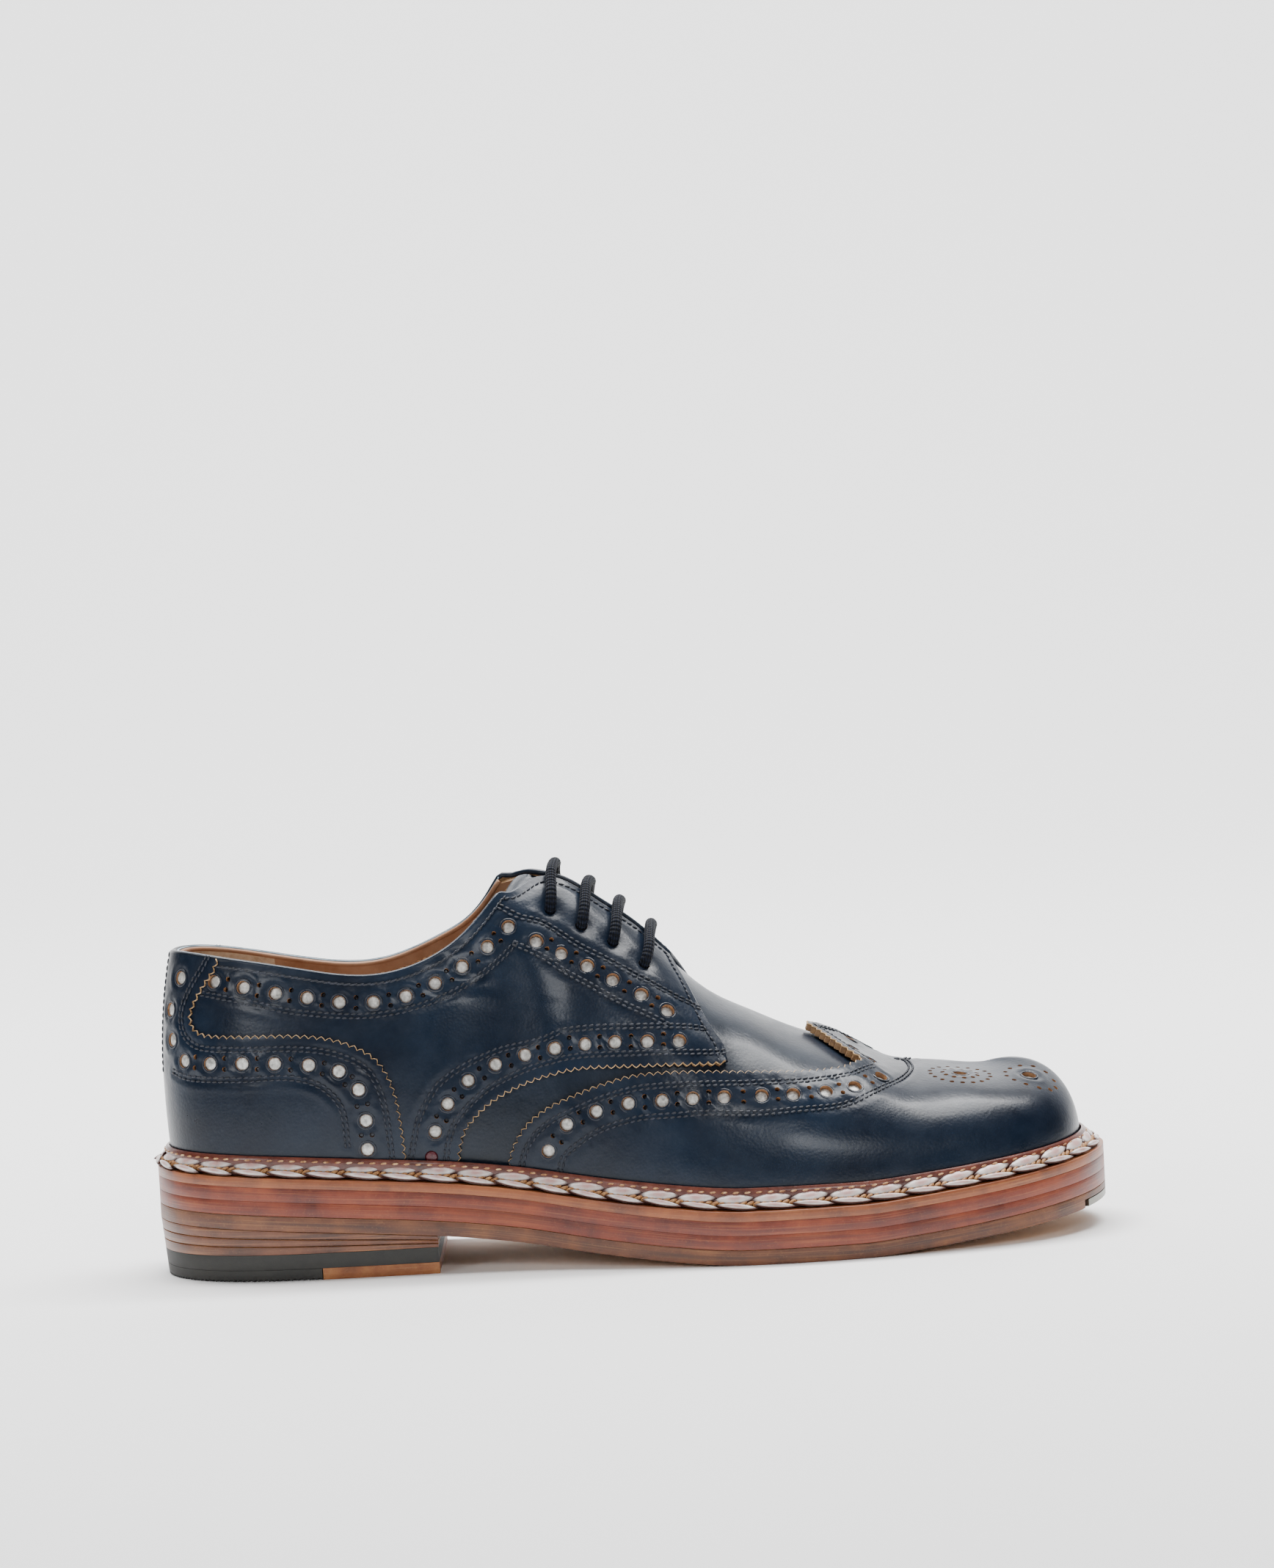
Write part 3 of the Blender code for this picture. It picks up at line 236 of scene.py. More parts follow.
featherSide = loopOf(featherRows, 1, 2, -1.0)
topAlong = loopOf(topRows, 1, 1)
topSide = loopOf(topRows, 2, 3, -1.0)
topHeight = loopOf(topRows, 4, 5)
riseLoop = loopOf(wallRows, 1, 1)
flareLoop = loopOf(wallRows, 2, 3)
reachLoop = loopOf(wallRows, 4, 4)
turnLoop = loopOf(wallRows, 5, 5)
marginLoop = loopOf(marginRows, 1, 1)
soleStack = last["outsole"] + 2 * last["midsole"] + last["welt"] + 3 * last["clearance"]
backMargin = last["weltMargin"] * marginRows[0][1]
soleLength = last["length"] + backMargin + last["weltMargin"] * marginRows[-1][1]


def unit(vectors):
    return vectors / np.linalg.norm(vectors, axis=-1, keepdims=True)


def ease(low, high, value):
    t = np.clip((value - low) / (high - low), 0.0, 1.0)
    return t * t * (3 - 2 * t)


def wrap(theta):
    return (np.asarray(theta, float) + pi) % (2 * pi) - pi


def underside(x):
    share = (x + backMargin) / soleLength
    stations = [row[0] for row in profileRows]
    return (last["seatRise"] * monotone(stations, [row[1] for row in profileRows], share)
            + last["toeSpring"] * monotone(stations, [row[2] for row in profileRows], share))


def weltTop(x):
    return underside(x) + soleStack


def feather(theta):
    return np.stack([last["length"] * (1 - np.cos(theta)) / 2, last["ball"] * featherSide(theta)],
                    -1)


def planNormal(theta):
    along = feather(theta + 1e-3) - feather(theta - 1e-3)
    return unit(np.stack([-along[..., 1], along[..., 0]], -1))


def topPoint(theta):
    def one(angle):
        base = weltTop(last["length"] * (1 - np.cos(angle)) / 2)
        return np.stack([last["length"] * topAlong(angle), last["ball"] * topSide(angle),
                         base + last["height"] * topHeight(angle)], -1)
    own = one(theta)
    fuse = ease(*last["fuse"], np.abs(wrap(theta)))[..., None]
    return own * (1 - fuse) + (own + one(-theta)) / 2 * fuse


def rib(theta):
    footPlan = feather(theta)
    foot = np.concatenate([footPlan, (weltTop(footPlan[..., 0]) + last["clearance"])[..., None]],
                          -1)
    top = topPoint(theta)
    chord = np.linalg.norm(top - foot, axis=-1)[..., None]
    flare = np.radians(flareLoop(theta))[..., None]
    footWay = np.concatenate([planNormal(theta) * np.sin(flare), np.cos(flare)], -1)
    along = np.minimum(np.abs(wrap(theta)), pi - 0.03)
    crown = topPoint(along + 1e-3) - topPoint(along - 1e-3)
    lean = np.stack([np.zeros_like(crown[..., 0]), np.ones_like(crown[..., 0]),
                     np.full_like(crown[..., 0], last["cant"])], -1)
    plane = np.cross(crown, lean)
    spread = unit(footPlan - top[..., :2])
    fused = ease(*last["fuse"], np.abs(wrap(theta)))
    depth = np.where(np.abs(plane[..., 2]) > 1e-12, plane[..., 2], 1.0)
    drop = -(spread * plane[..., :2]).sum(-1) / depth * fused
    level = unit(np.concatenate([spread, drop[..., None]], -1))
    turn = np.radians(turnLoop(theta))[..., None]
    down = np.zeros_like(level)
    down[..., 2] = -1.0
    first = footWay * chord * riseLoop(theta)[..., None]
    second = (level * np.sin(turn) + down * np.cos(turn)) * chord * reachLoop(theta)[..., None]
    return foot, foot + first, top + second, top


def onSkin(theta, v):
    theta, v = np.asarray(theta, float), np.asarray(v, float)[..., None]
    foot, first, second, top = rib(theta)
    return ((1 - v) ** 3 * foot + 3 * v * (1 - v) ** 2 * first
            + 3 * v * v * (1 - v) * second + v ** 3 * top) - shoeCentre


def skinNormal(theta, v):
    def one(angle, height):
        height = np.minimum(height, 0.995)
        roundWay = onSkin(angle + 1e-4, height) - onSkin(angle - 1e-4, height)
        upWay = onSkin(angle, height + 1e-4) - onSkin(angle, height - 1e-4)
        return -unit(np.cross(roundWay, upWay))
    theta, v = np.asarray(theta, float), np.asarray(v, float)
    own = one(theta, v)
    onCrown = (v > 1 - 1e-6) & (np.abs(wrap(theta)) > last["fuse"][1])
    return unit(own + np.where(onCrown[..., None], one(-theta, v), own))


def skin(theta, v, offset):
    return onSkin(theta, v) + skinNormal(theta, v) * np.asarray(offset)[..., None]


def slotEdge(theta):
    angle = np.abs(wrap(theta))
    middle, half = (last["slotTop"] + last["slotEnd"]) / 2, (last["slotEnd"] - last["slotTop"]) / 2
    share = np.clip(1 - np.abs((angle - middle) / half) ** 6, 0, 1) ** 0.5
    second, top = rib(theta)[2:]
    return 1 - last["slotHalf"] * share / (3 * np.linalg.norm(top - second, axis=-1))


def soleLine(theta, inset=0.0):
    out = last["weltMargin"] * marginLoop(theta) - inset
    return feather(theta) + planNormal(theta) * out[..., None]


edgeRound = soleLine(np.linspace(0, 2 * pi, 2000))
shoeCentre = np.append((edgeRound.min(0) + edgeRound.max(0)) / 2, 0.0)


# lines on the skin
def slopes(theta, v):
    here = onSkin(theta, v)
    return (onSkin(theta + 1e-4, v) - here) / 1e-4, (here - onSkin(theta, v - 1e-4)) / 1e-4


def shifted(theta, v, push):
    # rib angle and v after a small push in space along the skin
    a, b = slopes(theta, v)
    aa, ab, bb = (a * a).sum(-1), (a * b).sum(-1), (b * b).sum(-1)
    pa, pb = (push * a).sum(-1), (push * b).sum(-1)
    det = aa * bb - ab * ab
    return theta + (pa * bb - pb * ab) / det, v + (pb * aa - pa * ab) / det


searchGrid = {"turns": 420, "levels": 150, "lastTurn": 3.12, "lowest": 0.01, "nudge": 1e-4,
              "stride": 0.03, "steps": 5}
gridTheta, gridV = np.meshgrid(np.linspace(-searchGrid["lastTurn"], searchGrid["lastTurn"],
                                           searchGrid["turns"]),
                               np.linspace(searchGrid["lowest"], 1, searchGrid["levels"]),
                               indexing="ij")
gridPoints = {0.0: onSkin(gridTheta, gridV)}
overlayFace = last["gap"] + last["quarterWall"]
gridPoints[overlayFace] = skin(gridTheta, gridV, np.full(gridTheta.shape, overlayFace))


def settle(goal, view, rows, offset=0.0):
    # Newton's steps from the nearest points of the grid
    goal = np.atleast_2d(goal)
    spots = view(gridPoints[offset][rows]).reshape(-1, 2)
    nearest = [int(np.argmin(((spots - target) ** 2).sum(-1))) for target in goal]
    theta, v = gridTheta[rows].ravel()[nearest], gridV[rows].ravel()[nearest]

    def seen(theta, v):
        return view(skin(theta, v, np.full(len(goal), offset)) if offset else onSkin(theta, v))

    nudge, stride = searchGrid["nudge"], searchGrid["stride"]
    for step in range(searchGrid["steps"]):
        here = seen(theta, v)
        turn = (seen(theta + nudge, v) - here) / nudge
        rise = (here - seen(theta, v - nudge)) / nudge
        miss = goal - here
        det = turn[:, 0] * rise[:, 1] - turn[:, 1] * rise[:, 0]
        det = np.where(np.abs(det) < 1e-9, np.inf, det)
        theta = theta + np.clip((miss[:, 0] * rise[:, 1] - miss[:, 1] * rise[:, 0]) / det, -stride,
                                stride)
        v = v + np.clip((turn[:, 0] * miss[:, 1] - turn[:, 1] * miss[:, 0]) / det, -stride, stride)
        v = np.clip(v, searchGrid["lowest"], 1.0)
    return np.stack([theta, v], -1)


middleRow, edgeRow = searchGrid["turns"] // 2, 2     # rows too near heel or toe line are left out
outerRows = slice(1, middleRow - edgeRow)
innerRows = slice(middleRow + edgeRow, searchGrid["turns"] - 1)


def fromPixels(pixels):
    return settle(np.array(pixels, float), toPixel, outerRows, overlayFace)


def fromSide(rows):
    goal = []
    for along, up in rows:
        x = along * last["length"]
        goal.append((x - shoeCentre[0],
                     float(weltTop(x)) + last["clearance"] + up * last["height"]))
    return settle(np.array(goal), lambda points: points[..., [0, 2]], outerRows)


def fromPlan(points):
    # places in plan, in metres from the shoe's middle
    points = np.atleast_2d(points)
    ridge = topPoint(np.linspace(last["slotTop"], pi, 200)) - shoeCentre
    inner = points[:, 1] > np.interp(points[:, 0], ridge[:, 0], ridge[:, 1])
    found = np.zeros(points.shape)
    for rows, side in ((innerRows, inner), (outerRows, ~inner)):
        if side.any():
            found[side] = settle(points[side], lambda spots: spots[..., :2], rows)
    return found


def mirrored(line):
    return np.array(line) * np.array([-1.0, 1.0])


def smooth(points, parts=6):
    spots = [np.array(p, float) for p in points]
    spots = [2 * spots[0] - spots[1]] + spots + [2 * spots[-1] - spots[-2]]
    out = []
    for a, b, c, d in zip(spots, spots[1:], spots[2:], spots[3:]):
        for t in np.arange(parts) / parts:
            out.append(0.5 * (2 * b + (c - a) * t + (2 * a - 5 * b + 4 * c - d) * t * t
                              + (3 * b - a - 3 * c + d) * t ** 3))
    return np.array(out + [spots[-2]])


def spaced(line, step):
    # the line again, with points at even steps along the skin
    line = np.array(line)
    places = onSkin(line[:, 0], line[:, 1])
    run = np.append(0, np.cumsum(np.linalg.norm(np.diff(places, axis=0), axis=1)))
    count = max(2, int(round(run[-1] / step)) + 1)
    where = np.linspace(0, run[-1], count)
    return np.stack([np.interp(where, run, line[:, 0]), np.interp(where, run, line[:, 1])], -1)


def sideways(line, distance):
    # the line moved along the skin, to the left of its run as seen from outside
    theta, v = np.array(line).T
    places = onSkin(theta, v)
    way = unit(np.gradient(places, axis=0))
    left = np.cross(skinNormal(theta, v), way)
    return np.stack(shifted(theta, v, left * np.asarray(distance)[..., None]), -1)


gimp = {"pitch": 0.0026, "depth": 0.0011, "tooth": (0.0, 0.6, 1.0, 0.6)}


def gimped(line, side):
    # a line cut into small teeth
    parts = len(gimp["tooth"])
    fine = spaced(line, gimp["pitch"] / parts)
    tooth = np.array(gimp["tooth"])[np.arange(len(fine)) % parts]
    tooth[0] = tooth[-1] = 0.0
    return sideways(fine, side * gimp["depth"] * tooth)


print("last ready")

# seams, edges and holes, drawn over the photograph on the outer side
edges = {
    "quarterLower": [(0.311, 0.010), (0.313, 0.090), (0.320, 0.160), (0.331, 0.204), (0.351, 0.261),
                     (0.379, 0.314), (0.418, 0.370), (0.456, 0.404), (0.505, 0.423), (0.554, 0.435),
                     (0.610, 0.437)],
    "quarterFront": [(0.610, 0.437), (0.606, 0.485), (0.596, 0.526), (0.583, 0.590), (0.571, 0.656),
                     (0.557, 0.722)],
    "counter": [(0.062, 0.655), (0.046, 0.590), (0.034, 0.530), (0.029, 0.485), (0.032, 0.445),
                (0.046, 0.422), (0.086, 0.423), (0.136, 0.431), (0.175, 0.427), (0.203, 0.407),
                (0.226, 0.372), (0.239, 0.320),
                (0.247, 0.250), (0.251, 0.160), (0.253, 0.080), (0.254, 0.010)],
    "wing": [(0.370, 0.010), (0.374, 0.090), (0.384, 0.155), (0.399, 0.210), (0.420, 0.260),
             (0.444, 0.300), (0.480, 0.350), (0.520, 0.387), (0.580, 0.402), (0.640, 0.393),
             (0.700, 0.380), (0.763, 0.376)],
    "wingPeak": 0.704,
    "wingShoulder": (0.735, -0.098),
}
# photo pixels along each seam; a double row is sewn twice, seamSpread apart
seamPixels = {
    "quarter": [
        ("double", [(957, 1401), (906, 1398), (855, 1399), (791, 1402), (743, 1415), (680, 1431),
                    (632, 1453), (600, 1476), (586, 1495), (570, 1527), (560, 1578)]),
        ("double", [(276, 1354), (343, 1367), (391, 1378), (439, 1383), (487, 1385), (535, 1380),
                    (583, 1367), (614, 1354), (646, 1335), (702, 1286)]),
        ("double", [(702, 1286), (760, 1318), (812, 1347), (862, 1373), (909, 1396)]),
        ("double", [(682, 1236), (720, 1252), (780, 1283), (840, 1314), (900, 1346), (952, 1373)]),
    ],
    "counter": [
        ("double", [(240, 1460), (264, 1470), (328, 1472), (391, 1469), (430, 1477), (455, 1495),
                    (468, 1517), (474, 1560)]),
    ],
    "wing": [
        ("double", [(763, 1596), (769, 1576), (791, 1557), (823, 1538), (871, 1524), (919, 1520),
                    (983, 1517), (1100, 1511), (1165, 1500), (1206, 1480), (1229, 1469),
                    (1241, 1456), (1238, 1448), (1227, 1441), (1214, 1438)]),
    ],
}
holePixels = {
    "quarter": [
        [(291, 1338), (331, 1346), (375, 1354), (418, 1360), (462, 1366), (509, 1366), (553, 1358),
         (593, 1340), (630, 1317), (664, 1290), (692, 1263)],
        [(731, 1282), (765, 1299), (800, 1316), (835, 1335), (874, 1355), (910, 1377)],
        [(926, 1418), (882, 1419), (838, 1420), (797, 1423), (756, 1429), (715, 1438), (675, 1451),
         (638, 1473), (610, 1505), (593, 1543)],
    ],
    "counter": [
        [(254, 1446), (288, 1450), (331, 1450), (375, 1450), (421, 1452), (462, 1460), (489, 1485),
         (499, 1527), (501, 1566)],
    ],
    "wing": [
        [(747, 1569), (772, 1533), (812, 1515), (856, 1504), (902, 1500), (944, 1497), (987, 1495),
         (1038, 1493), (1081, 1491), (1126, 1487), (1165, 1480), (1200, 1468)], ],
}
strapHolePixels = [(249, 1333), (236, 1376), (238, 1417)]
waxSpotPixel = (588, 1577)
eyeletPixels = [(750, 1238), (793, 1260), (836, 1282), (879, 1312)]
holes = {
    "bigRadius": 0.00215,
    "smallRadius": 0.0008,
    "bigCorners": 16,
    "smallCorners": 8,
    "pairSpread": 0.0017,        # a small hole to the middle of its band
    "pressDepth": 0.00022,
    "eyeletRadius": 0.0019,
    "seamSpread": 0.0013,        # between the two rows of a double seam
    "seamDepth": 0.00025,
}
# soft relief beside seams and holes: how far from it, how wide, how high
relief = {
    "seamWidth": 0.0007, "ridge": (0.0022, 0.0010, 0.00012), "press": (0.0008, 0.00045),
    "swell": (0.0047, 0.0011), "eyeWidth": 0.0034,
}


def halfSpread(line, sign):
    return sideways(line, sign * holes["seamSpread"] / 2)


quarterLower = fromSide(smooth(edges["quarterLower"], 3))
quarterFront = fromSide(smooth(edges["quarterFront"], 3))
counterEdge = fromSide(smooth(edges["counter"], 3))
counterEdge[0, 1] = 1.0
wingSide = fromSide(smooth(edges["wing"], 3))


def crownAngle(share):
    angles = np.linspace(last["fuse"][1], pi, 400)
    return float(np.interp(share * last["length"], topPoint(angles)[:, 0], angles))


wingPeak = crownAngle(edges["wingPeak"])
shoulder = fromPlan([(edges["wingShoulder"][0] * last["length"] - shoeCentre[0],
                      edges["wingShoulder"][1] * last["ball"] - shoeCentre[1])])[0]


def seamLines(part):
    rows = []
    for kind, pixels in seamPixels[part]:
        line = spaced(smooth(fromPixels(pixels), 4), 0.001)
        rows += [halfSpread(line, 1), halfSpread(line, -1)] if kind == "double" else [line]
    return rows


def edgeRows(line, distance, double=True):
    inner = sideways(spaced(line, 0.0012), distance)
    step = math.copysign(holes["seamSpread"], distance)
    return [inner, sideways(inner, step)] if double else [inner]


def holeRows(part):
    big, small = [], []
    for pixels in holePixels[part]:
        row = fromPixels(pixels)
        big += [tuple(spot) for spot in row]
        middles = (row[1:] + row[:-1]) / 2
        way = unit(onSkin(*row[1:].T) - onSkin(*row[:-1].T))
        across = np.cross(skinNormal(*middles.T), way) * holes["pairSpread"]
        for sign in (1, -1):
            small += list(zip(*shifted(*middles.T, across * sign)))
    return big, small


# leather panels: a flat sheet with its holes, laid on the skin
def chart(theta, v):
    foot, first, second, top = rib(theta)
    length = np.linalg.norm(foot - top, axis=-1)
    away = unit(np.stack([-np.cos(theta) * last["ball"] / last["length"], np.sin(theta)], -1))
    return top[..., :2] + away * ((1 - np.asarray(v)) * length)[..., None]


def insideOf(polygon, spots):
    hit = np.zeros(len(spots), bool)
    x, y = spots[:, 0], spots[:, 1]
    for (x0, y0), (x1, y1) in zip(polygon, np.roll(polygon, -1, axis=0)):
        if y0 != y1:
            hit ^= ((y0 > y) != (y1 > y)) & (x < (x1 - x0) * (y - y0) / (y1 - y0) + x0)
    return hit


def treeOf(points):
    tree = kdtree.KDTree(len(points))
    for i, point in enumerate(points):
        tree.insert(point, i)
    tree.balance()
    return tree


def distanceTo(tree, points):
    return np.array([tree.find(point)[2] for point in points])


def circles(spots, radius, count):
    # rings of points round each spot, lying on the skin
    if not spots:
        return []
    theta, v = np.array(spots).T
    normal = skinNormal(theta, v)
    helper = np.where(np.abs(normal[:, 1:2]) < 0.8, [[0.0, 1.0, 0.0]], [[0.0, 0.0, 1.0]])
    ahead = unit(np.cross(normal, helper))
    side = np.cross(normal, ahead)
    angle = np.arange(count) * 2 * pi / count
    turned, across = np.cos(angle)[None, :, None], np.sin(angle)[None, :, None]
    push = (turned * ahead[:, None] + across * side[:, None]) * radius
    around = shifted(np.repeat(theta, count), np.repeat(v, count), push.reshape(-1, 3))
    return list(np.stack(around, -1).reshape(len(theta), count, 2))


def newObject(name, mesh, *materials):
    made = bpy.data.objects.new(name, mesh)
    bpy.context.scene.collection.objects.link(made)
    for item in materials:
        mesh.materials.append(item)
    return made


def meshOf(name, points, faces, smoothShade=True):
    mesh = bpy.data.meshes.new(name)
    mesh.from_pydata([tuple(p) for p in points], [], [tuple(f) for f in faces])
    mesh.polygons.foreach_set("use_smooth", [smoothShade] * len(mesh.polygons))
    return mesh


def setOutward(mesh, weld=None, sharpDegrees=None):
    # joins points closer than weld, turns every face outwards and marks the sharp edges
    work = bmesh.new()
    work.from_mesh(mesh)
    if weld:
        bmesh.ops.remove_doubles(work, verts=work.verts, dist=weld)
    bmesh.ops.recalc_face_normals(work, faces=work.faces)
    work.to_mesh(mesh)
    work.free()
    if sharpDegrees:
        mesh.set_sharp_from_angle(angle=math.radians(sharpDegrees))


def finished(made, slotName, *replaced):
    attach(made, "root")
    if replaced:
        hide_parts(*replaced)
    return made


def bell(away, middle, width):
    return np.exp(-((away - middle) / width) ** 2)


def leatherPanel(name, runs, bigHoles, smallHoles, eyelets, seams, high, low, materials, settings):
    # outline and holes are laid flat, filled with triangles, and put back on the skin as a sheet
    rim = np.concatenate([np.array(run)[:-1] for run in runs])
    rawRim = np.concatenate([np.full(len(run) - 1, i in settings["rawRuns"])
                             for i, run in enumerate(runs)])
    turns = np.arange(rim[:, 0].min(), rim[:, 0].max(), settings["turnStep"])
    levels = np.arange(0.0, 1.0, settings["levelStep"])
    grid = np.array([(t, v * s) for t, s in zip(turns, slotEdge(turns)) for v in levels])
    if settings.get("overCrown"):
        crown = turns[(np.abs(wrap(turns)) > last["slotEnd"]) & (turns <= pi)]
        grid = np.concatenate([grid, np.stack([crown, np.ones(len(crown))], -1)])
    loops = (circles(bigHoles, holes["bigRadius"], holes["bigCorners"])
             + circles(smallHoles, holes["smallRadius"], holes["smallCorners"])
             + circles(eyelets, holes["eyeletRadius"], holes["bigCorners"]))
    rings = [chart(*loop.T) for loop in loops]
    rimFlat = chart(*rim.T)
    spots = chart(*grid.T)
    keep = insideOf(rimFlat, spots)
    fence = treeOf([(x, y, 0.0) for x, y in np.concatenate([rimFlat] + rings)])
    near = distanceTo(fence, [(x, y, 0.0) for x, y in spots])
    keep &= near > settings["fence"]
    for ring in rings:
        middle, reach = ring.mean(0), np.linalg.norm(ring - ring.mean(0), axis=1).max()
        keep &= np.linalg.norm(spots - middle, axis=1) > reach
    points = np.concatenate([rim] + loops + [grid[keep]])
    constraints, start = [], 0
    for loop in [rim] + loops:
        count = len(loop)
        constraints += [(start + i, start + (i + 1) % count) for i in range(count)]
        start += count
    flat = chart(*points.T)
    result = delaunay_2d_cdt([tuple(p) for p in flat], constraints, [], 1, 1e-9)
    source = [group[0] for group in result[3]]
    theta, v = points[source].T
    # -1 on the outline, -2 inside the panel, else the hole's number: no face spans one hole
    owner = np.concatenate([np.full(len(rim), -1)]
                           + [np.full(len(loop), i) for i, loop in enumerate(loops)]
                           + [np.full(keep.sum(), -2)])[source]
    faces = [tuple(face) for face in result[2]
             if owner[face[0]] < 0 or len({owner[k] for k in face}) > 1]
    count = len(source)
    onRim = np.array(source) < len(rim)
    places = onSkin(theta, v)
    top = np.full(count, high)
    if seams:
        seamTree = treeOf(np.concatenate([onSkin(*line.T) for line in seams]))
        away = distanceTo(seamTree, places)
        top -= holes["seamDepth"] * bell(away, 0.0, relief["seamWidth"])
        top += relief["ridge"][2] * bell(away, *relief["ridge"][:2])
    if bigHoles:
        holeTree = treeOf(onSkin(*np.array(bigHoles).T))
        away = distanceTo(holeTree, places)
        ring = bell(away - holes["bigRadius"], *relief["press"])
        top += holes["pressDepth"] * (bell(away, *relief["swell"]) - ring)
    if eyelets:
        eyeTree = treeOf(onSkin(*np.array(eyelets).T))
        away = distanceTo(eyeTree, places)
        top -= settings["eyeDip"] * bell(away, 0.0, relief["eyeWidth"])
    lift = settings["lift"](places) if "lift" in settings else 0.0
    folds = settings["folds"](places) if "folds" in settings else 0.0
    both = np.concatenate([skin(theta, v, top + lift + folds),
                           skin(theta, v, np.full(count, low) + 0.5 * lift)])
    seen = dict.fromkeys((a, b) for face in faces for a, b in zip(face, face[1:] + face[:1]))
    walls = [(b, a, a + count, b + count) for a, b in seen if (b, a) not in seen]
    under = [tuple(i + count for i in reversed(face)) for face in faces]
    mesh = meshOf(name, both, faces + under + walls)

    def wallIndex(spot):
        # folded edge, cut edge or the wall of a hole
        return 2 if not onRim[spot] else 1 if rawRim[source[spot]] else 0

    index = [0] * len(faces) + [1] * len(under) + [wallIndex(a) for b, a, c, d in walls]
    mesh.polygons.foreach_set("material_index", index)
    setOutward(mesh, sharpDegrees=50)
    return newObject(name, mesh, *materials)


# node helpers
def addNode(tree, kind, inputs=None, stops=None, **settings):
    # a node with its settings, its values or links, and the colours of a ramp
    node = tree.nodes.new(kind)
    for key, value in settings.items():
        setattr(node, key, value)
    if stops:
        elements = node.color_ramp.elements
        while len(elements) < len(stops):
            elements.new(0.5)
        for element, (place, colour) in zip(elements, stops):
            element.position = place
            element.color = linear(colour)
    for key, value in (inputs or {}).items():
        if isinstance(value, bpy.types.NodeSocket):
            tree.links.new(value, node.inputs[key])
        else:
            node.inputs[key].default_value = value
    return node


def linear(code):
    # sRGB hex code to a linear colour
    parts = [int(code[i:i + 2], 16) / 255 for i in (1, 3, 5)]
    parts = [p / 12.92 if p <= 0.04045 else ((p + 0.055) / 1.055) ** 2.4 for p in parts]
    return tuple(parts) + (1.0,)


def newMaterial(name):
    made = bpy.data.materials.new(name)
    made.use_nodes = True
    tree = made.node_tree
    tree.nodes.clear()
    shader = addNode(tree, "ShaderNodeBsdfPrincipled")
    addNode(tree, "ShaderNodeOutputMaterial", {"Surface": shader.outputs[0]})
    return made, tree, shader


def bumped(tree, shader, layers):
    # layers are (height socket, strength, depth in millimetres), coarse to fine
    normal = None
    for height, strength, depth in layers:
        inputs = {"Height": height, "Strength": strength, "Distance": depth / 1000.0}
        if normal is not None:
            inputs["Normal"] = normal
        normal = addNode(tree, "ShaderNodeBump", inputs).outputs[0]
    tree.links.new(normal, shader.inputs["Normal"])


# leathers
def leather(name, spec):
    # tanned hide: pores and a fine net of creases, uneven dye, lighter streaks that are part wear
    # and part painted sheen, a waxed or bare finish
    made, tree, shader = newMaterial(name)
    place = addNode(tree, "ShaderNodeTexCoord").outputs["Object"]
    patches = addNode(tree, "ShaderNodeTexNoise",
                      {"Vector": place, "Scale": 1000.0 / spec["patch"], "Detail": 4.0,
                       "Roughness": 0.55}).outputs[0]
    layout = place
    if "stretch" in spec:
        layout = addNode(tree, "ShaderNodeMapping", {0: place, 3: spec["stretch"]}).outputs[0]
    streaks = addNode(tree, "ShaderNodeTexNoise",
                      {"Vector": layout, "Scale": 1000.0 / (spec["patch"] * 0.35), "Detail": 5.0,
                       "Roughness": 0.65}).outputs[0]
    dye = addNode(tree, "ShaderNodeValToRGB", {0: patches}, stops=spec["colours"]).outputs[0]
    # the streaks mix in a lighter colour: part wear, part painted sheen
    wearAndSheen = addNode(tree, "ShaderNodeMapRange", {0: streaks, 1: 0.3, 2: 0.7, 3: 0.0,
                                                4: spec["wearAndSheenShare"]})
    dye = addNode(tree, "ShaderNodeMix", {0: wearAndSheen.outputs[0], 6: dye, 7: linear(spec["wearAndSheen"])},
                  data_type="RGBA").outputs[2]
    tree.links.new(dye, shader.inputs["Base Color"])
    cells = addNode(tree, "ShaderNodeTexVoronoi",
                    {"Vector": place, "Scale": 1000.0 / spec["grain"]},
                    feature="SMOOTH_F1").outputs["Distance"]
    pores = addNode(tree, "ShaderNodeTexNoise",
                    {"Vector": place, "Scale": 1000.0 / (spec["grain"] * 0.6), "Detail": 2.0,
                     "Roughness": 0.55}).outputs[0]
    gloss = addNode(tree, "ShaderNodeMapRange", {0: streaks, 1: 0.3, 2: 0.7,
                                                 3: spec["rough"][0],
                                                 4: spec["rough"][1]}).outputs[0]
    tree.links.new(gloss, shader.inputs["Roughness"])
    shader.inputs["IOR"].default_value = 1.5
    shader.inputs["Specular IOR Level"].default_value = spec.get("specular", 0.5)
    shader.inputs["Coat Weight"].default_value = spec.get("coat", 0.0)
    shader.inputs["Coat Roughness"].default_value = spec.get("coatRough", 0.2)
    sway = addNode(tree, "ShaderNodeTexNoise", {"Vector": place, "Scale": 1000.0 / 9.0,
                                                "Detail": 2.0, "Roughness": 0.55}).outputs[0]
    bumped(tree, shader, [(sway, spec.get("sway", 0.3), 0.35), (cells, spec["depth"], 0.12),
                          (pores, spec["depth"] * 0.6, 0.06)])
    return made
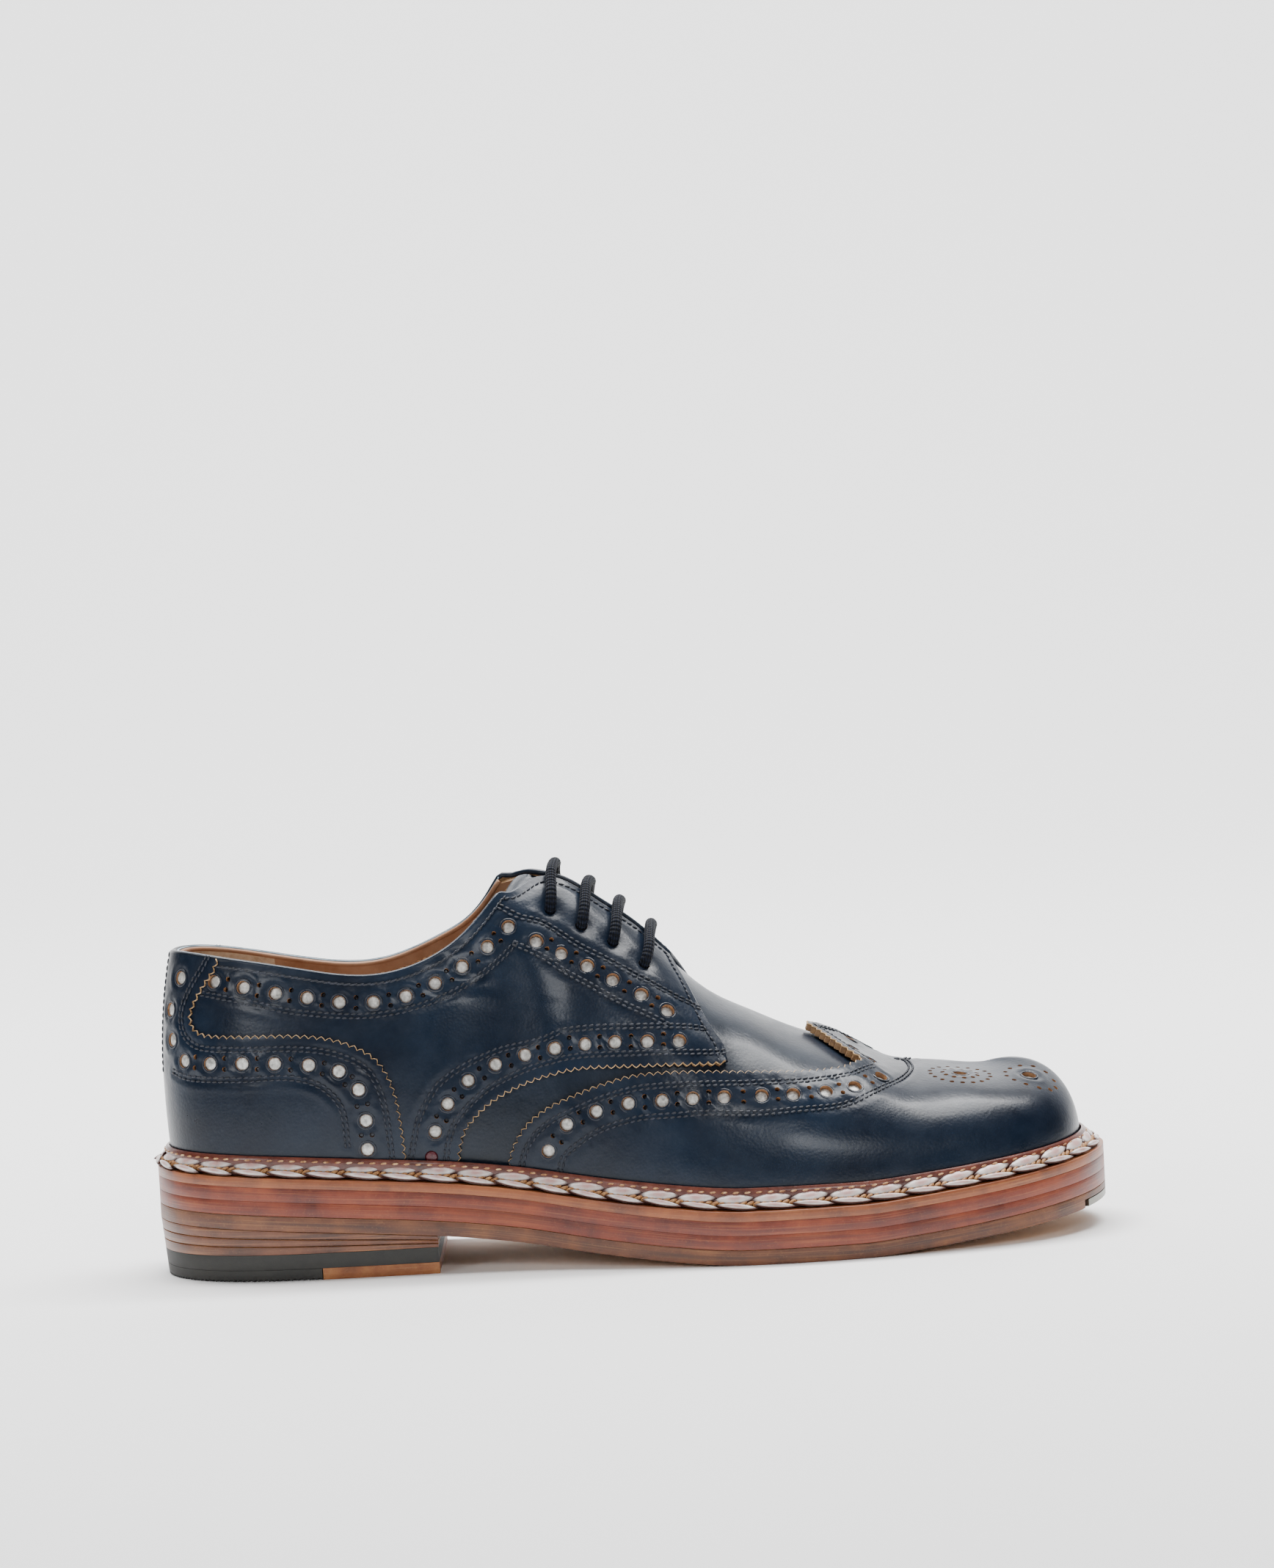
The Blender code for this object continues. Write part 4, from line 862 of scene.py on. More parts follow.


# aniline calf: dark navy, with lighter grey-blue streaks that are part wear and part a painted
# grey-lavender sheen
navyCalf = {
    "colours": [(0.30, "#050c1a"), (0.52, "#0a1625"), (0.72, "#0e1e30")],
    "wearAndSheen": "#1e2938", "wearAndSheenShare": 0.35, "patch": 34.0, "grain": 0.85, "depth": 0.35,
    "rough": (0.27, 0.38), "specular": 0.24, "coat": 0.10, "coatRough": 0.16,
}
# vamp and tongue: a lighter, greyer navy with more of the streaks of wear and painted sheen
vampCalf = dict(navyCalf, colours=[(0.30, "#0a111a"), (0.52, "#131b26"), (0.72, "#1b2430")],
                wearAndSheenShare=0.45)
liningHide = {                   # vegetable-tanned lining: smooth tan, darker where handled
    "colours": [(0.3, "#75492d"), (0.5, "#8d6041"), (0.7, "#a07355")],
    "wearAndSheen": "#b58f70", "wearAndSheenShare": 0.4, "patch": 20.0, "grain": 0.7, "depth": 0.25,
    "rough": (0.5, 0.65),
}
heelSuede = {                    # suede side out at the heel, brushed nap
    "colours": [(0.3, "#9a7f63"), (0.5, "#b3977a"), (0.7, "#c3a98c")],
    "wearAndSheen": "#d8c3a8", "wearAndSheenShare": 0.6, "patch": 6.0, "grain": 0.5, "depth": 0.8,
    "rough": (0.85, 0.95),
}
randHide = {                     # waxed red-brown storm rand
    "colours": [(0.3, "#32110b"), (0.5, "#4d1d13"), (0.7, "#672f1e")],
    "wearAndSheen": "#854832", "wearAndSheenShare": 0.3, "patch": 7.0, "grain": 0.6, "depth": 0.5,
    "rough": (0.3, 0.45), "coat": 0.35,
}
leatherNavy = leather("navyCalfLeather", navyCalf)
leatherVamp = leather("navyCalfVamp", vampCalf)
leatherLining = leather("tanLiningLeather", liningHide)
leatherSuede = leather("beigeHeelSuede", heelSuede)
leatherRand = leather("redBrownRandLeather", randHide)
leatherRaw = leather("rawCutLeather", dict(
    liningHide, colours=[(0.3, "#5b4026"), (0.5, "#80603c"), (0.7, "#a07c50")], depth=0.9,
    patch=2.0))
leatherLip = leather("paleRawLip", dict(
    liningHide, colours=[(0.3, "#7d6240"), (0.5, "#a18458"), (0.7, "#bfa478")], patch=2.0))
leatherHoleWall = leather("punchedTanWall", dict(
    liningHide, colours=[(0.3, "#5c3c20"), (0.5, "#7e5530"), (0.7, "#9a6d40")], patch=1.5))
leatherNavyEdge = leather("navyInkedEdge", dict(
    navyCalf, colours=[(0.3, "#0b0f16"), (0.5, "#141a24"), (0.7, "#222a36")]))
leatherPiping = leather("paleBluePiping", dict(
    navyCalf, colours=[(0.3, "#6f8494"), (0.5, "#8ea3b1"), (0.7, "#a9bac4")], wearAndSheenShare=0.2,
    patch=4.0))


def stackedEdge(name, spec):
    # cut edge of sole leather: fibres lie flat, so fine light and dark lines run along it,
    # burnished with wax
    made, tree, shader = newMaterial(name)
    layout = addNode(tree, "ShaderNodeUVMap", uv_map="edgeMap").outputs[0]
    place = addNode(tree, "ShaderNodeTexCoord").outputs["Object"]
    lines, broad = [addNode(tree, "ShaderNodeTexNoise", {
        "Vector": addNode(tree, "ShaderNodeMapping", {0: layout, 3: (along, up, 1.0)}).outputs[0],
        "Scale": 1000.0, "Detail": detail, "Roughness": rough}).outputs[0]
                    for along, up, detail, rough in ((0.03, spec["lines"], 4.0, 0.6),
                                                     (0.02, spec["lines"] * 0.25, 2.0, 0.5))]
    blotch = addNode(tree, "ShaderNodeTexNoise",
                     {"Vector": place, "Scale": 1000.0 / spec["patch"], "Detail": 4.0,
                      "Roughness": 0.55}).outputs[0]
    specks = addNode(tree, "ShaderNodeTexNoise",
                     {"Vector": place, "Scale": 1000.0 / 0.7, "Detail": 3.0,
                      "Roughness": 0.7}).outputs[0]
    dye = addNode(tree, "ShaderNodeValToRGB", {0: blotch}, stops=spec["colours"]).outputs[0]
    for mask, start, stop, most, colour in (
            (lines, 0.52, 0.66, spec["lineShare"], spec["light"]),
            (broad, 0.5, 0.7, spec["darkShare"], spec["dark"]),
            (specks, 0.58, 0.75, 0.35, spec["light"])):
        share = addNode(tree, "ShaderNodeMapRange", {0: mask, 1: start, 2: stop, 3: 0.0, 4: most})
        dye = addNode(tree, "ShaderNodeMix", {0: share.outputs[0], 6: dye, 7: linear(colour)},
                      data_type="RGBA").outputs[2]
    tree.links.new(dye, shader.inputs["Base Color"])
    tree.links.new(addNode(tree, "ShaderNodeMapRange",
                           {0: blotch, 1: 0.3, 2: 0.7, 3: spec["rough"][0],
                            4: spec["rough"][1]}).outputs[0], shader.inputs["Roughness"])
    shader.inputs["Coat Weight"].default_value = spec["coat"]
    shader.inputs["Coat Roughness"].default_value = 0.3
    bumped(tree, shader, [(lines, 0.5, 0.12), (specks, 0.5, 0.08)])
    return made


edgeRed = stackedEdge("burnishedRedSoleEdge", {
    "colours": [(0.3, "#4c170c"), (0.5, "#702a14"), (0.7, "#883c1c")], "light": "#a0603a",
    "dark": "#421a16", "lines": 2.0, "lineShare": 0.35, "darkShare": 0.55, "patch": 12.0,
    "rough": (0.36, 0.52), "coat": 0.12})
edgeTan = stackedEdge("waxedTanWeltEdge", {
    "colours": [(0.3, "#5e2c12"), (0.5, "#80421d"), (0.7, "#955227")], "light": "#b0733f",
    "dark": "#4a2315", "lines": 2.0, "lineShare": 0.4, "darkShare": 0.35, "patch": 9.0,
    "rough": (0.35, 0.5), "coat": 0.2})
edgeDark = stackedEdge("darkSoleEdge", {
    "colours": [(0.3, "#452619"), (0.5, "#623925"), (0.7, "#7a4c30")], "light": "#a1744a",
    "dark": "#35211b", "lines": 2.6, "lineShare": 0.35, "darkShare": 0.6, "patch": 10.0,
    "rough": (0.4, 0.6), "coat": 0.1})
edgeLift = stackedEdge("heelLiftEdge", {
    "colours": [(0.3, "#4a2a1b"), (0.5, "#663b27"), (0.7, "#7e5034")], "light": "#a9784e",
    "dark": "#34201a", "lines": 1.6, "lineShare": 0.4, "darkShare": 0.7, "patch": 14.0,
    "rough": (0.36, 0.5), "coat": 0.2})
edgeTopLift = stackedEdge("topLiftLeatherEdge", {
    "colours": [(0.3, "#774423"), (0.5, "#925831"), (0.7, "#a66c3f")], "light": "#c39263",
    "dark": "#6a3f26", "lines": 1.2, "lineShare": 0.3, "darkShare": 0.3, "patch": 6.0,
    "rough": (0.45, 0.6), "coat": 0.05})
soleGrain = leather("oakTannedSoleLeather", dict(
    liningHide, colours=[(0.3, "#8c6240"), (0.5, "#a87b52"), (0.7, "#b98d62")], patch=30.0,
    coat=0.1))


def plainFinish(name, spec):
    # rubber, foil, steel, thread: one body colour, slightly uneven, with a fine bump
    made, tree, shader = newMaterial(name)
    place = addNode(tree, "ShaderNodeTexCoord").outputs["Object"]
    body = addNode(tree, "ShaderNodeTexNoise", {"Vector": place, "Scale": 1000.0 / spec["patch"],
                                                "Detail": 3.0, "Roughness": 0.55}).outputs[0]
    tree.links.new(addNode(tree, "ShaderNodeValToRGB", {0: body}, stops=spec["colours"]).outputs[0],
                   shader.inputs["Base Color"])
    tree.links.new(addNode(tree, "ShaderNodeMapRange",
                           {0: body, 1: 0.3, 2: 0.7, 3: spec["rough"][0],
                            4: spec["rough"][1]}).outputs[0], shader.inputs["Roughness"])
    shader.inputs["Metallic"].default_value = spec.get("metal", 0.0)
    shader.inputs["Sheen Weight"].default_value = spec.get("sheen", 0.0)
    grain = addNode(tree, "ShaderNodeTexNoise", {"Vector": place, "Detail": 2.0,
                                                 "Scale": 1000.0 / spec["bumpSize"],
                                                 "Roughness": 0.55}).outputs[0]
    bumped(tree, shader, [(grain, spec["bump"], spec["bumpSize"] * 0.15)])
    return made


# carbon-black rubber, matt with fine mould texture
heelRubber = plainFinish("mouldedBlackRubber", {
    "colours": [(0.3, "#262624"), (0.7, "#353431")], "rough": (0.55, 0.7), "patch": 6.0,
    "bump": 0.4, "bumpSize": 0.6})
# crumpled silver backing behind the holes
foil = plainFinish("silverFoil", {
    "colours": [(0.3, "#8f8f8b"), (0.5, "#b9b9b5"), (0.7, "#dededa")], "rough": (0.32, 0.5),
    "metal": 0.35, "patch": 1.2, "bump": 0.8, "bumpSize": 0.9})
# twisted waxed thread, grey glints
navyThread = plainFinish("waxedNavyThread", {
    "colours": [(0.35, "#0b0f18"), (0.55, "#191e2a"), (0.75, "#2f3441")], "rough": (0.45, 0.6),
    "patch": 1.6, "bump": 0.5, "bumpSize": 0.35})
tanThread = plainFinish("waxedTanThread", {
    "colours": [(0.35, "#8a5a35"), (0.5, "#b58557"), (0.68, "#dcb98c")], "rough": (0.45, 0.6),
    "patch": 1.6, "bump": 0.5, "bumpSize": 0.4})
toeSteel = plainFinish("wornSteel", {
    "colours": [(0.3, "#6f6f69"), (0.7, "#8d8c84")], "rough": (0.3, 0.45), "metal": 1.0,
    "patch": 2.0, "bump": 0.3, "bumpSize": 0.5})
# leather polished darker by the punch
pressedRim = plainFinish("pressedHoleRim", {
    "colours": [(0.3, "#0d1119"), (0.7, "#1b2230")], "rough": (0.28, 0.4), "patch": 1.0,
    "bump": 0.2, "bumpSize": 0.5})
# a drop of wax pressed flat
redWax = plainFinish("darkRedWax", {
    "colours": [(0.3, "#3c1118"), (0.7, "#5a1d26")], "rough": (0.25, 0.35), "patch": 1.5,
    "bump": 0.4, "bumpSize": 0.9})
cordTwist = plainFinish("twistedFlaxCord", {
    "colours": [(0.3, "#6f4526"), (0.5, "#a06f42"), (0.7, "#c79a66")], "rough": (0.5, 0.65),
    "patch": 0.8, "bump": 0.7, "bumpSize": 0.4})


def wovenCord(name, spec):
    # round braided lace: strands cross in a fine diamond weave, with painted shade in the dips
    # between strands and a painted highlight on the crossings
    made, tree, shader = newMaterial(name)
    layout = addNode(tree, "ShaderNodeUVMap", uv_map="cordMap").outputs[0]
    ways = []
    for lean in (1.0, -1.0):
        parts = addNode(tree, "ShaderNodeSeparateXYZ", {0: layout})
        slant = addNode(tree, "ShaderNodeMath", {0: parts.outputs[1], 1: lean * spec["strands"]},
                        operation="MULTIPLY")
        along = addNode(tree, "ShaderNodeMath", {0: parts.outputs[0], 1: 1000.0 / spec["pitch"]},
                        operation="MULTIPLY")
        both = addNode(tree, "ShaderNodeMath", {0: slant.outputs[0], 1: along.outputs[0]},
                       operation="ADD")
        turn = addNode(tree, "ShaderNodeMath", {0: both.outputs[0], 1: 2 * pi},
                       operation="MULTIPLY")
        ways.append(addNode(tree, "ShaderNodeMath", {0: turn.outputs[0]},
                            operation="SINE").outputs[0])
    weave = addNode(tree, "ShaderNodeMath", {0: ways[0], 1: ways[1]},
                    operation="MULTIPLY").outputs[0]
    # painted shade and highlight: the colour follows the weave's height, darker in the dips and
    # lighter on the crossings
    tree.links.new(addNode(tree, "ShaderNodeValToRGB", {0: addNode(tree, "ShaderNodeMapRange",
                                       {0: weave, 1: -1.0, 2: 1.0, 3: 0.0, 4: 1.0}).outputs[0]},
                           stops=spec["colours"]).outputs[0], shader.inputs["Base Color"])
    shader.inputs["Roughness"].default_value = 0.7
    shader.inputs["Specular IOR Level"].default_value = 0.15
    bumped(tree, shader, [(weave, 0.9, 0.35)])
    return made


laceCord = wovenCord("navyLaceCord", {
    "colours": [(0.1, "#03050a"), (0.5, "#090d17"), (0.9, "#161c2b")], "strands": 6.0,
    "pitch": 2.4})


def plaitThong(name, spec):
    # waxed rawhide thong: pale, rosy along its middle, with painted shade round its rim and at its
    # ends, where it tucks under its neighbour
    made, tree, shader = newMaterial(name)
    local = addNode(tree, "ShaderNodeAttribute", attribute_name="local").outputs["Vector"]
    place = addNode(tree, "ShaderNodeTexCoord").outputs["Object"]
    parts = addNode(tree, "ShaderNodeSeparateXYZ", {0: local})
    high = addNode(tree, "ShaderNodeMath", {0: parts.outputs[2]}, operation="ABSOLUTE").outputs[0]
    along = addNode(tree, "ShaderNodeMath", {0: parts.outputs[0]}, operation="ABSOLUTE").outputs[0]
    patches = addNode(tree, "ShaderNodeTexNoise", {"Vector": place, "Scale": 1000.0 / 3.0,
                                                   "Detail": 3.0, "Roughness": 0.55}).outputs[0]
    body = addNode(tree, "ShaderNodeValToRGB", {0: patches}, stops=spec["colours"]).outputs[0]
    crown = addNode(tree, "ShaderNodeMapRange", {0: high, 1: 0.62, 2: 0.95, 3: 0.0, 4: 1.0})
    middle = addNode(tree, "ShaderNodeMapRange", {0: along, 1: 0.1, 2: 0.8, 3: 1.0, 4: 0.0})
    rosy = addNode(tree, "ShaderNodeMath", {0: crown.outputs[0], 1: middle.outputs[0]},
                   operation="MULTIPLY")
    share = addNode(tree, "ShaderNodeMath", {0: rosy.outputs[0], 1: spec["rosyShare"]},
                    operation="MULTIPLY")
    # painted shade: darker round the lens's rim and towards its pointed ends, where the
    # neighbouring thongs tuck under
    foot = addNode(tree, "ShaderNodeMapRange", {0: high, 1: 0.22, 2: 0.58, 3: 0.95, 4: 0.0})
    tipShade = addNode(tree, "ShaderNodeMapRange", {0: along, 1: 0.70, 2: 0.95, 3: 0.0, 4: 0.85})
    for mask, colour in ((share, spec["rosy"]), (foot, spec["dark"]), (tipShade, spec["dark"])):
        body = addNode(tree, "ShaderNodeMix", {0: mask.outputs[0], 6: body, 7: linear(colour)},
                       data_type="RGBA").outputs[2]
    tree.links.new(body, shader.inputs["Base Color"])
    shader.inputs["Roughness"].default_value = 0.34
    shader.inputs["Coat Weight"].default_value = 0.3
    shader.inputs["Coat Roughness"].default_value = 0.2
    pores = addNode(tree, "ShaderNodeTexNoise", {"Vector": place, "Scale": 1000.0 / 1.1,
                                                 "Detail": 3.0, "Roughness": 0.55}).outputs[0]
    bumped(tree, shader, [(pores, 0.4, 0.15)])
    return made


# the dark colour is painted shade where the thongs tuck under one another
thong = plaitThong("waxedWhiteThong", {
    "colours": [(0.3, "#b7aca6"), (0.5, "#cfc6c1"), (0.7, "#e2dcd8")], "rosy": "#b0716a",
    "rosyShare": 0.7, "dark": "#4a2b27"})
print("materials ready")


# Geometry Nodes: a shape repeated along lines or on spots
def startTree(name, sockets):
    tree = bpy.data.node_groups.new(name, "GeometryNodeTree")
    tree.interface.new_socket("Geometry", in_out="INPUT", socket_type="NodeSocketGeometry")
    for label, kind in sockets:
        tree.interface.new_socket(label, in_out="INPUT", socket_type=kind)
    tree.interface.new_socket("Geometry", in_out="OUTPUT", socket_type="NodeSocketGeometry")
    return tree, addNode(tree, "NodeGroupInput").outputs


def endTree(tree, geometry, material):
    real = addNode(tree, "GeometryNodeRealizeInstances", {0: geometry}).outputs[0]
    smoothed = addNode(tree, "GeometryNodeSetShadeSmooth", {0: real}).outputs[0]
    painted = addNode(tree, "GeometryNodeSetMaterial",
                      {"Geometry": smoothed, "Material": material}).outputs[0]
    addNode(tree, "NodeGroupOutput", {0: painted})
    return tree


def named(tree, name, kind="FLOAT_VECTOR"):
    return addNode(tree, "GeometryNodeInputNamedAttribute", {0: name}, data_type=kind).outputs[0]


def beadRowTree():
    # slim beads end to end along each line: stitches, and the thongs of the plait
    tree, given = startTree("beadRow", [("Pitch", "NodeSocketFloat"), ("Length", "NodeSocketFloat"),
                                        ("Width", "NodeSocketFloat"), ("Height", "NodeSocketFloat"),
                                        ("Slant", "NodeSocketFloat"), ("Lean", "NodeSocketFloat"),
                                        ("Point", "NodeSocketFloat"),
                                        ("Fineness", "NodeSocketInt"), ("Rings", "NodeSocketInt"),
                                        ("Material", "NodeSocketMaterial")])
    path = addNode(tree, "GeometryNodeMeshToCurve", {0: given["Geometry"]}).outputs[0]
    even = addNode(tree, "GeometryNodeResampleCurve", {"Curve": path, "Length": given["Pitch"]},
                   mode="LENGTH")
    ball = addNode(tree, "GeometryNodeMeshUVSphere",
                   {"Segments": given["Fineness"], "Rings": given["Rings"], "Radius": 1.0})
    parts = addNode(tree, "ShaderNodeSeparateXYZ",
                    {0: addNode(tree, "GeometryNodeInputPosition").outputs[0]})
    bulk = addNode(tree, "ShaderNodeMath", {0: parts.outputs[0], 1: parts.outputs[0]},
                   operation="MULTIPLY").outputs[0]
    left = addNode(tree, "ShaderNodeMath", {0: 1.0001, 1: bulk}, operation="SUBTRACT").outputs[0]
    share = addNode(tree, "ShaderNodeMath", {0: left, 1: given["Point"]},
                    operation="POWER").outputs[0]
    slim = [addNode(tree, "ShaderNodeMath", {0: part, 1: share}, operation="MULTIPLY").outputs[0]
            for part in parts.outputs[1:3]]
    place = addNode(tree, "ShaderNodeCombineXYZ", {0: parts.outputs[0], 1: slim[0], 2: slim[1]})
    lens = addNode(tree, "GeometryNodeSetPosition",
                   {"Geometry": ball.outputs[0], "Position": place.outputs[0]})
    kept = addNode(tree, "GeometryNodeStoreNamedAttribute",
                   {"Geometry": lens.outputs[0], "Name": "local",
                    "Value": addNode(tree, "GeometryNodeInputPosition").outputs[0]},
                   data_type="FLOAT_VECTOR", domain="POINT")
    halves = [addNode(tree, "ShaderNodeMath", {0: given[label], 1: 0.5},
                      operation="MULTIPLY").outputs[0]
              for label in ("Length", "Width", "Height")]
    size = addNode(tree, "ShaderNodeCombineXYZ",
                   {0: halves[0], 1: halves[1], 2: halves[2]}).outputs[0]
    turn = addNode(tree, "ShaderNodeCombineXYZ", {0: given["Lean"], 2: given["Slant"]}).outputs[0]
    shape = addNode(tree, "GeometryNodeTransform",
                    {"Geometry": kept.outputs[0], "Rotation": turn, "Scale": size})
    way = addNode(tree, "FunctionNodeAxesToRotation",
                  {0: addNode(tree, "GeometryNodeInputTangent").outputs[0],
                   1: named(tree, "up")}, primary_axis="X", secondary_axis="Z")
    placed = addNode(tree, "GeometryNodeInstanceOnPoints",
                     {"Points": even.outputs[0], "Instance": shape.outputs[0],
                      "Rotation": way.outputs[0]})
    return endTree(tree, placed.outputs[0], given["Material"])


def rimTree():
    # a pressed ring, or a dished disc, lying on each spot
    tree, given = startTree("rimSpots", [("Lip", "NodeSocketFloat"), ("Filled", "NodeSocketBool"),
                                         ("Material", "NodeSocketMaterial")])
    circle = addNode(tree, "GeometryNodeCurvePrimitiveCircle",
                     {"Resolution": 16, "Radius": 1.0}).outputs[0]
    bead = addNode(tree, "GeometryNodeCurvePrimitiveCircle",
                   {"Resolution": 6, "Radius": given["Lip"]}).outputs[0]
    ring = addNode(tree, "GeometryNodeCurveToMesh",
                   {"Curve": circle, "Profile Curve": bead}).outputs[0]
    disc = addNode(tree, "GeometryNodeMeshCone",
                   {"Vertices": 14, "Side Segments": 2, "Radius Top": 0.4,
                    "Radius Bottom": 1.0, "Depth": 0.12}).outputs[0]
    shape = addNode(tree, "GeometryNodeSwitch",
                    {"Switch": given["Filled"], "False": ring, "True": disc},
                    input_type="GEOMETRY").outputs[0]
    way = addNode(tree, "FunctionNodeAlignRotationToVector", {"Vector": named(tree, "up")},
                  axis="Z")
    placed = addNode(tree, "GeometryNodeInstanceOnPoints",
                     {"Points": given["Geometry"], "Instance": shape,
                      "Rotation": way.outputs[0], "Scale": named(tree, "reach", "FLOAT")})
    return endTree(tree, placed.outputs[0], given["Material"])


beadRow = beadRowTree()
rimSpots = rimTree()


def grown(name, lines, tree, values, ups, reach=None):
    # runs a tree on lines (or single spots) and keeps the plain mesh
    points, links, start = [], [], 0
    for line in lines:
        points += [tuple(p) for p in line]
        links += [(start + i, start + i + 1) for i in range(len(line) - 1)]
        start += len(line)
    mesh = bpy.data.meshes.new(name + "Lines")
    mesh.from_pydata(points, links, [])
    upward = mesh.attributes.new("up", "FLOAT_VECTOR", "POINT")
    upward.data.foreach_set("vector", np.concatenate(ups).astype(np.float32).ravel())
    if reach is not None:
        mesh.attributes.new("reach", "FLOAT", "POINT").data.foreach_set("value",
                                                                        np.array(reach, np.float32))
    carrier = bpy.data.objects.new(name + "Lines", mesh)
    bpy.context.scene.collection.objects.link(carrier)
    modifier = carrier.modifiers.new("grow", "NODES")
    modifier.node_group = tree
    sockets = {item.name: item.identifier for item in tree.interface.items_tree
               if item.in_out == "INPUT" and item.name != "Geometry"}
    for key, value in values.items():
        modifier[sockets[key]] = value
    bpy.context.view_layer.update()
    evaluated = carrier.evaluated_get(bpy.context.evaluated_depsgraph_get())
    made = bpy.data.meshes.new_from_object(evaluated)
    bpy.data.objects.remove(carrier)
    made.name = name
    return newObject(name, made)


print("trees ready")


# sweeps and shells
def sweep(name, path, radius, sides, material, mapName=None, squash=1.0, up=None):
    # a closed tube along a path; its map runs along in metres and once round
    path = np.array(path)
    way = unit(np.gradient(path, axis=0))
    upward = np.array([0.0, 0.0, 1.0]) if up is None else np.array(up)
    side = unit(np.cross(way, upward))
    over = np.cross(side, way)
    run = np.append(0, np.cumsum(np.linalg.norm(np.diff(path, axis=0), axis=1)))
    angle = np.arange(sides) * 2 * pi / sides
    radius = np.broadcast_to(radius, (len(path),))
    turned, across = np.cos(angle)[None, :, None], np.sin(angle)[None, :, None] * squash
    swept = turned * side[:, None] + across * over[:, None]
    rings = path[:, None] + swept * radius[:, None, None]
    points = list(rings.reshape(-1, 3)) + [path[0], path[-1]]
    faces, uvs = [], []
    for i in range(len(path) - 1):
        for k in range(sides):
            n = (k + 1) % sides
            faces.append((i * sides + k, i * sides + n, (i + 1) * sides + n, (i + 1) * sides + k))
            uvs += [(run[i], k / sides), (run[i], (k + 1) / sides), (run[i + 1], (k + 1) / sides),
                    (run[i + 1], k / sides)]
    endA, endB, lastRing = len(points) - 2, len(points) - 1, (len(path) - 1) * sides
    for k in range(sides):
        n = (k + 1) % sides
        faces += [(k, endA, n), (lastRing + k, lastRing + n, endB)]
        uvs += [(0.0, k / sides)] * 3 + [(run[-1], k / sides)] * 3
    mesh = meshOf(name, points, faces)
    if mapName:
        layer = mesh.uv_layers.new(name=mapName)
        layer.data.foreach_set("uv", np.array(uvs, np.float32).ravel())
    setOutward(mesh)
    return newObject(name, mesh, material)


upperShell = {"ribs": 200, "levels": 26, "heelLining": 0.66, "suedeLow": 0.30}


def makeUpper():
    # vamp and lining: hollow, open at the collar, the slot and underneath
    angles = np.sort(np.append(np.arange(upperShell["ribs"]) * 2 * pi / upperShell["ribs"],
                               [last["slotEnd"], 2 * pi - last["slotEnd"]]))
    shares = np.linspace(0, 1, upperShell["levels"])
    edge = np.clip(slotEdge(angles), 0, 1)
    rings, count = [], len(angles)
    for offset, order in ((0.0, shares), (-last["wall"], shares[::-1])):
        rings += [skin(angles, edge * share, np.full(count, offset)) for share in order]
    half = len(rings) // 2
    closed = (edge > 1 - 1e-6) & (np.abs(wrap(angles)) > last["fuse"][1])
    faces, index = [], []
    for k in range(len(rings)):
        n = (k + 1) % len(rings)
        for i in range(count):
            j = (i + 1) % count
            if k == half - 1 and closed[i] and closed[j]:
                continue
            faces.append((k * count + i, k * count + j, n * count + j, n * count + i))
            inHeel = abs(wrap(angles[i])) < upperShell["heelLining"]
            inHeel = inHeel and half - 1 < k < len(rings) - 1
            high = k >= half and shares[::-1][k - half] > upperShell["suedeLow"]
            index.append(0 if k < half - 1 else 3 if k == half - 1 else 2 if inHeel and high else 1)
    mesh = meshOf("vampAndLining", np.concatenate(rings), faces)
    mesh.polygons.foreach_set("material_index", index)
    setOutward(mesh, weld=2e-6, sharpDegrees=55)
    made = newObject("vampAndLining", mesh, leatherVamp, leatherLining, leatherSuede, leatherRaw)
    return finished(made, "navy", "upper")


tongue = {"start": 1.34, "stop": 1.80, "reach": 0.34, "narrows": 0.10, "stand": 0.05, "gap": 0.0013,
          "wall": 0.0016, "rows": 60, "columns": 24, "easing": (1.38, 1.50), "easeSteps": 30}


def makeTongue():
    rows = np.linspace(tongue["start"], tongue["stop"], tongue["rows"])
    across = np.linspace(0, 1, tongue["columns"])
    along = (rows - tongue["start"]) / (tongue["stop"] - tongue["start"])
    reach = tongue["reach"] - tongue["narrows"] * along
    stand = tongue["stand"] * (1 - ease(tongue["start"], last["slotTop"], rows))
    grid = np.array([[(-t, 1 + a - (w + a) * (1 - s)) for s in across]
                     + [(t, 1 + a - (w + a) * s) for s in across]
                     for t, w, a in zip(rows, reach, stand)])
    under = last["wall"] + tongue["gap"]
    shape = grid.shape[:2]
    top = skin(grid[..., 0], grid[..., 1], np.full(shape, -under))
    low = skin(grid[..., 0], grid[..., 1], np.full(shape, -under - tongue["wall"]))
    for sheet in (top, low):
        # eases the crease where the two sides meet above the collar
        for step in range(tongue["easeSteps"]):
            middle = sheet.copy()
            middle[:, 1:-1] = (sheet[:, :-2] + sheet[:, 2:] + 2 * sheet[:, 1:-1]) / 4
            share = (1 - ease(*tongue["easing"], rows))[:, None, None]
            sheet[:] = sheet * (1 - share) + middle * share
    count = shape[0] * shape[1]
    spot = np.arange(count).reshape(shape)
    faces, index = [], []
    for i in range(shape[0] - 1):
        for j in range(shape[1] - 1):
            face = (spot[i, j], spot[i, j + 1], spot[i + 1, j + 1], spot[i + 1, j])
            faces += [face, tuple(k + count for k in reversed(face))]
            index += [0, 1]
    rim = list(spot[0, :]) + list(spot[1:, -1]) + list(spot[-1, :-1][::-1]) + list(spot[1:-1,
                                                                                        0][::-1])
    for a, b in zip(rim, rim[1:] + rim[:1]):
        faces.append((b, a, a + count, b + count))
        index.append(2)
    mesh = meshOf("tongueFlap", np.concatenate([top.reshape(-1, 3), low.reshape(-1, 3)]), faces)
    mesh.polygons.foreach_set("material_index", index)
    setOutward(mesh, weld=2e-6, sharpDegrees=55)
    return finished(newObject("tongueFlap", mesh, leatherVamp, leatherLining, leatherRaw), "navy",
                    "tongue")


makeUpper()
makeTongue()
print("upper and tongue made")

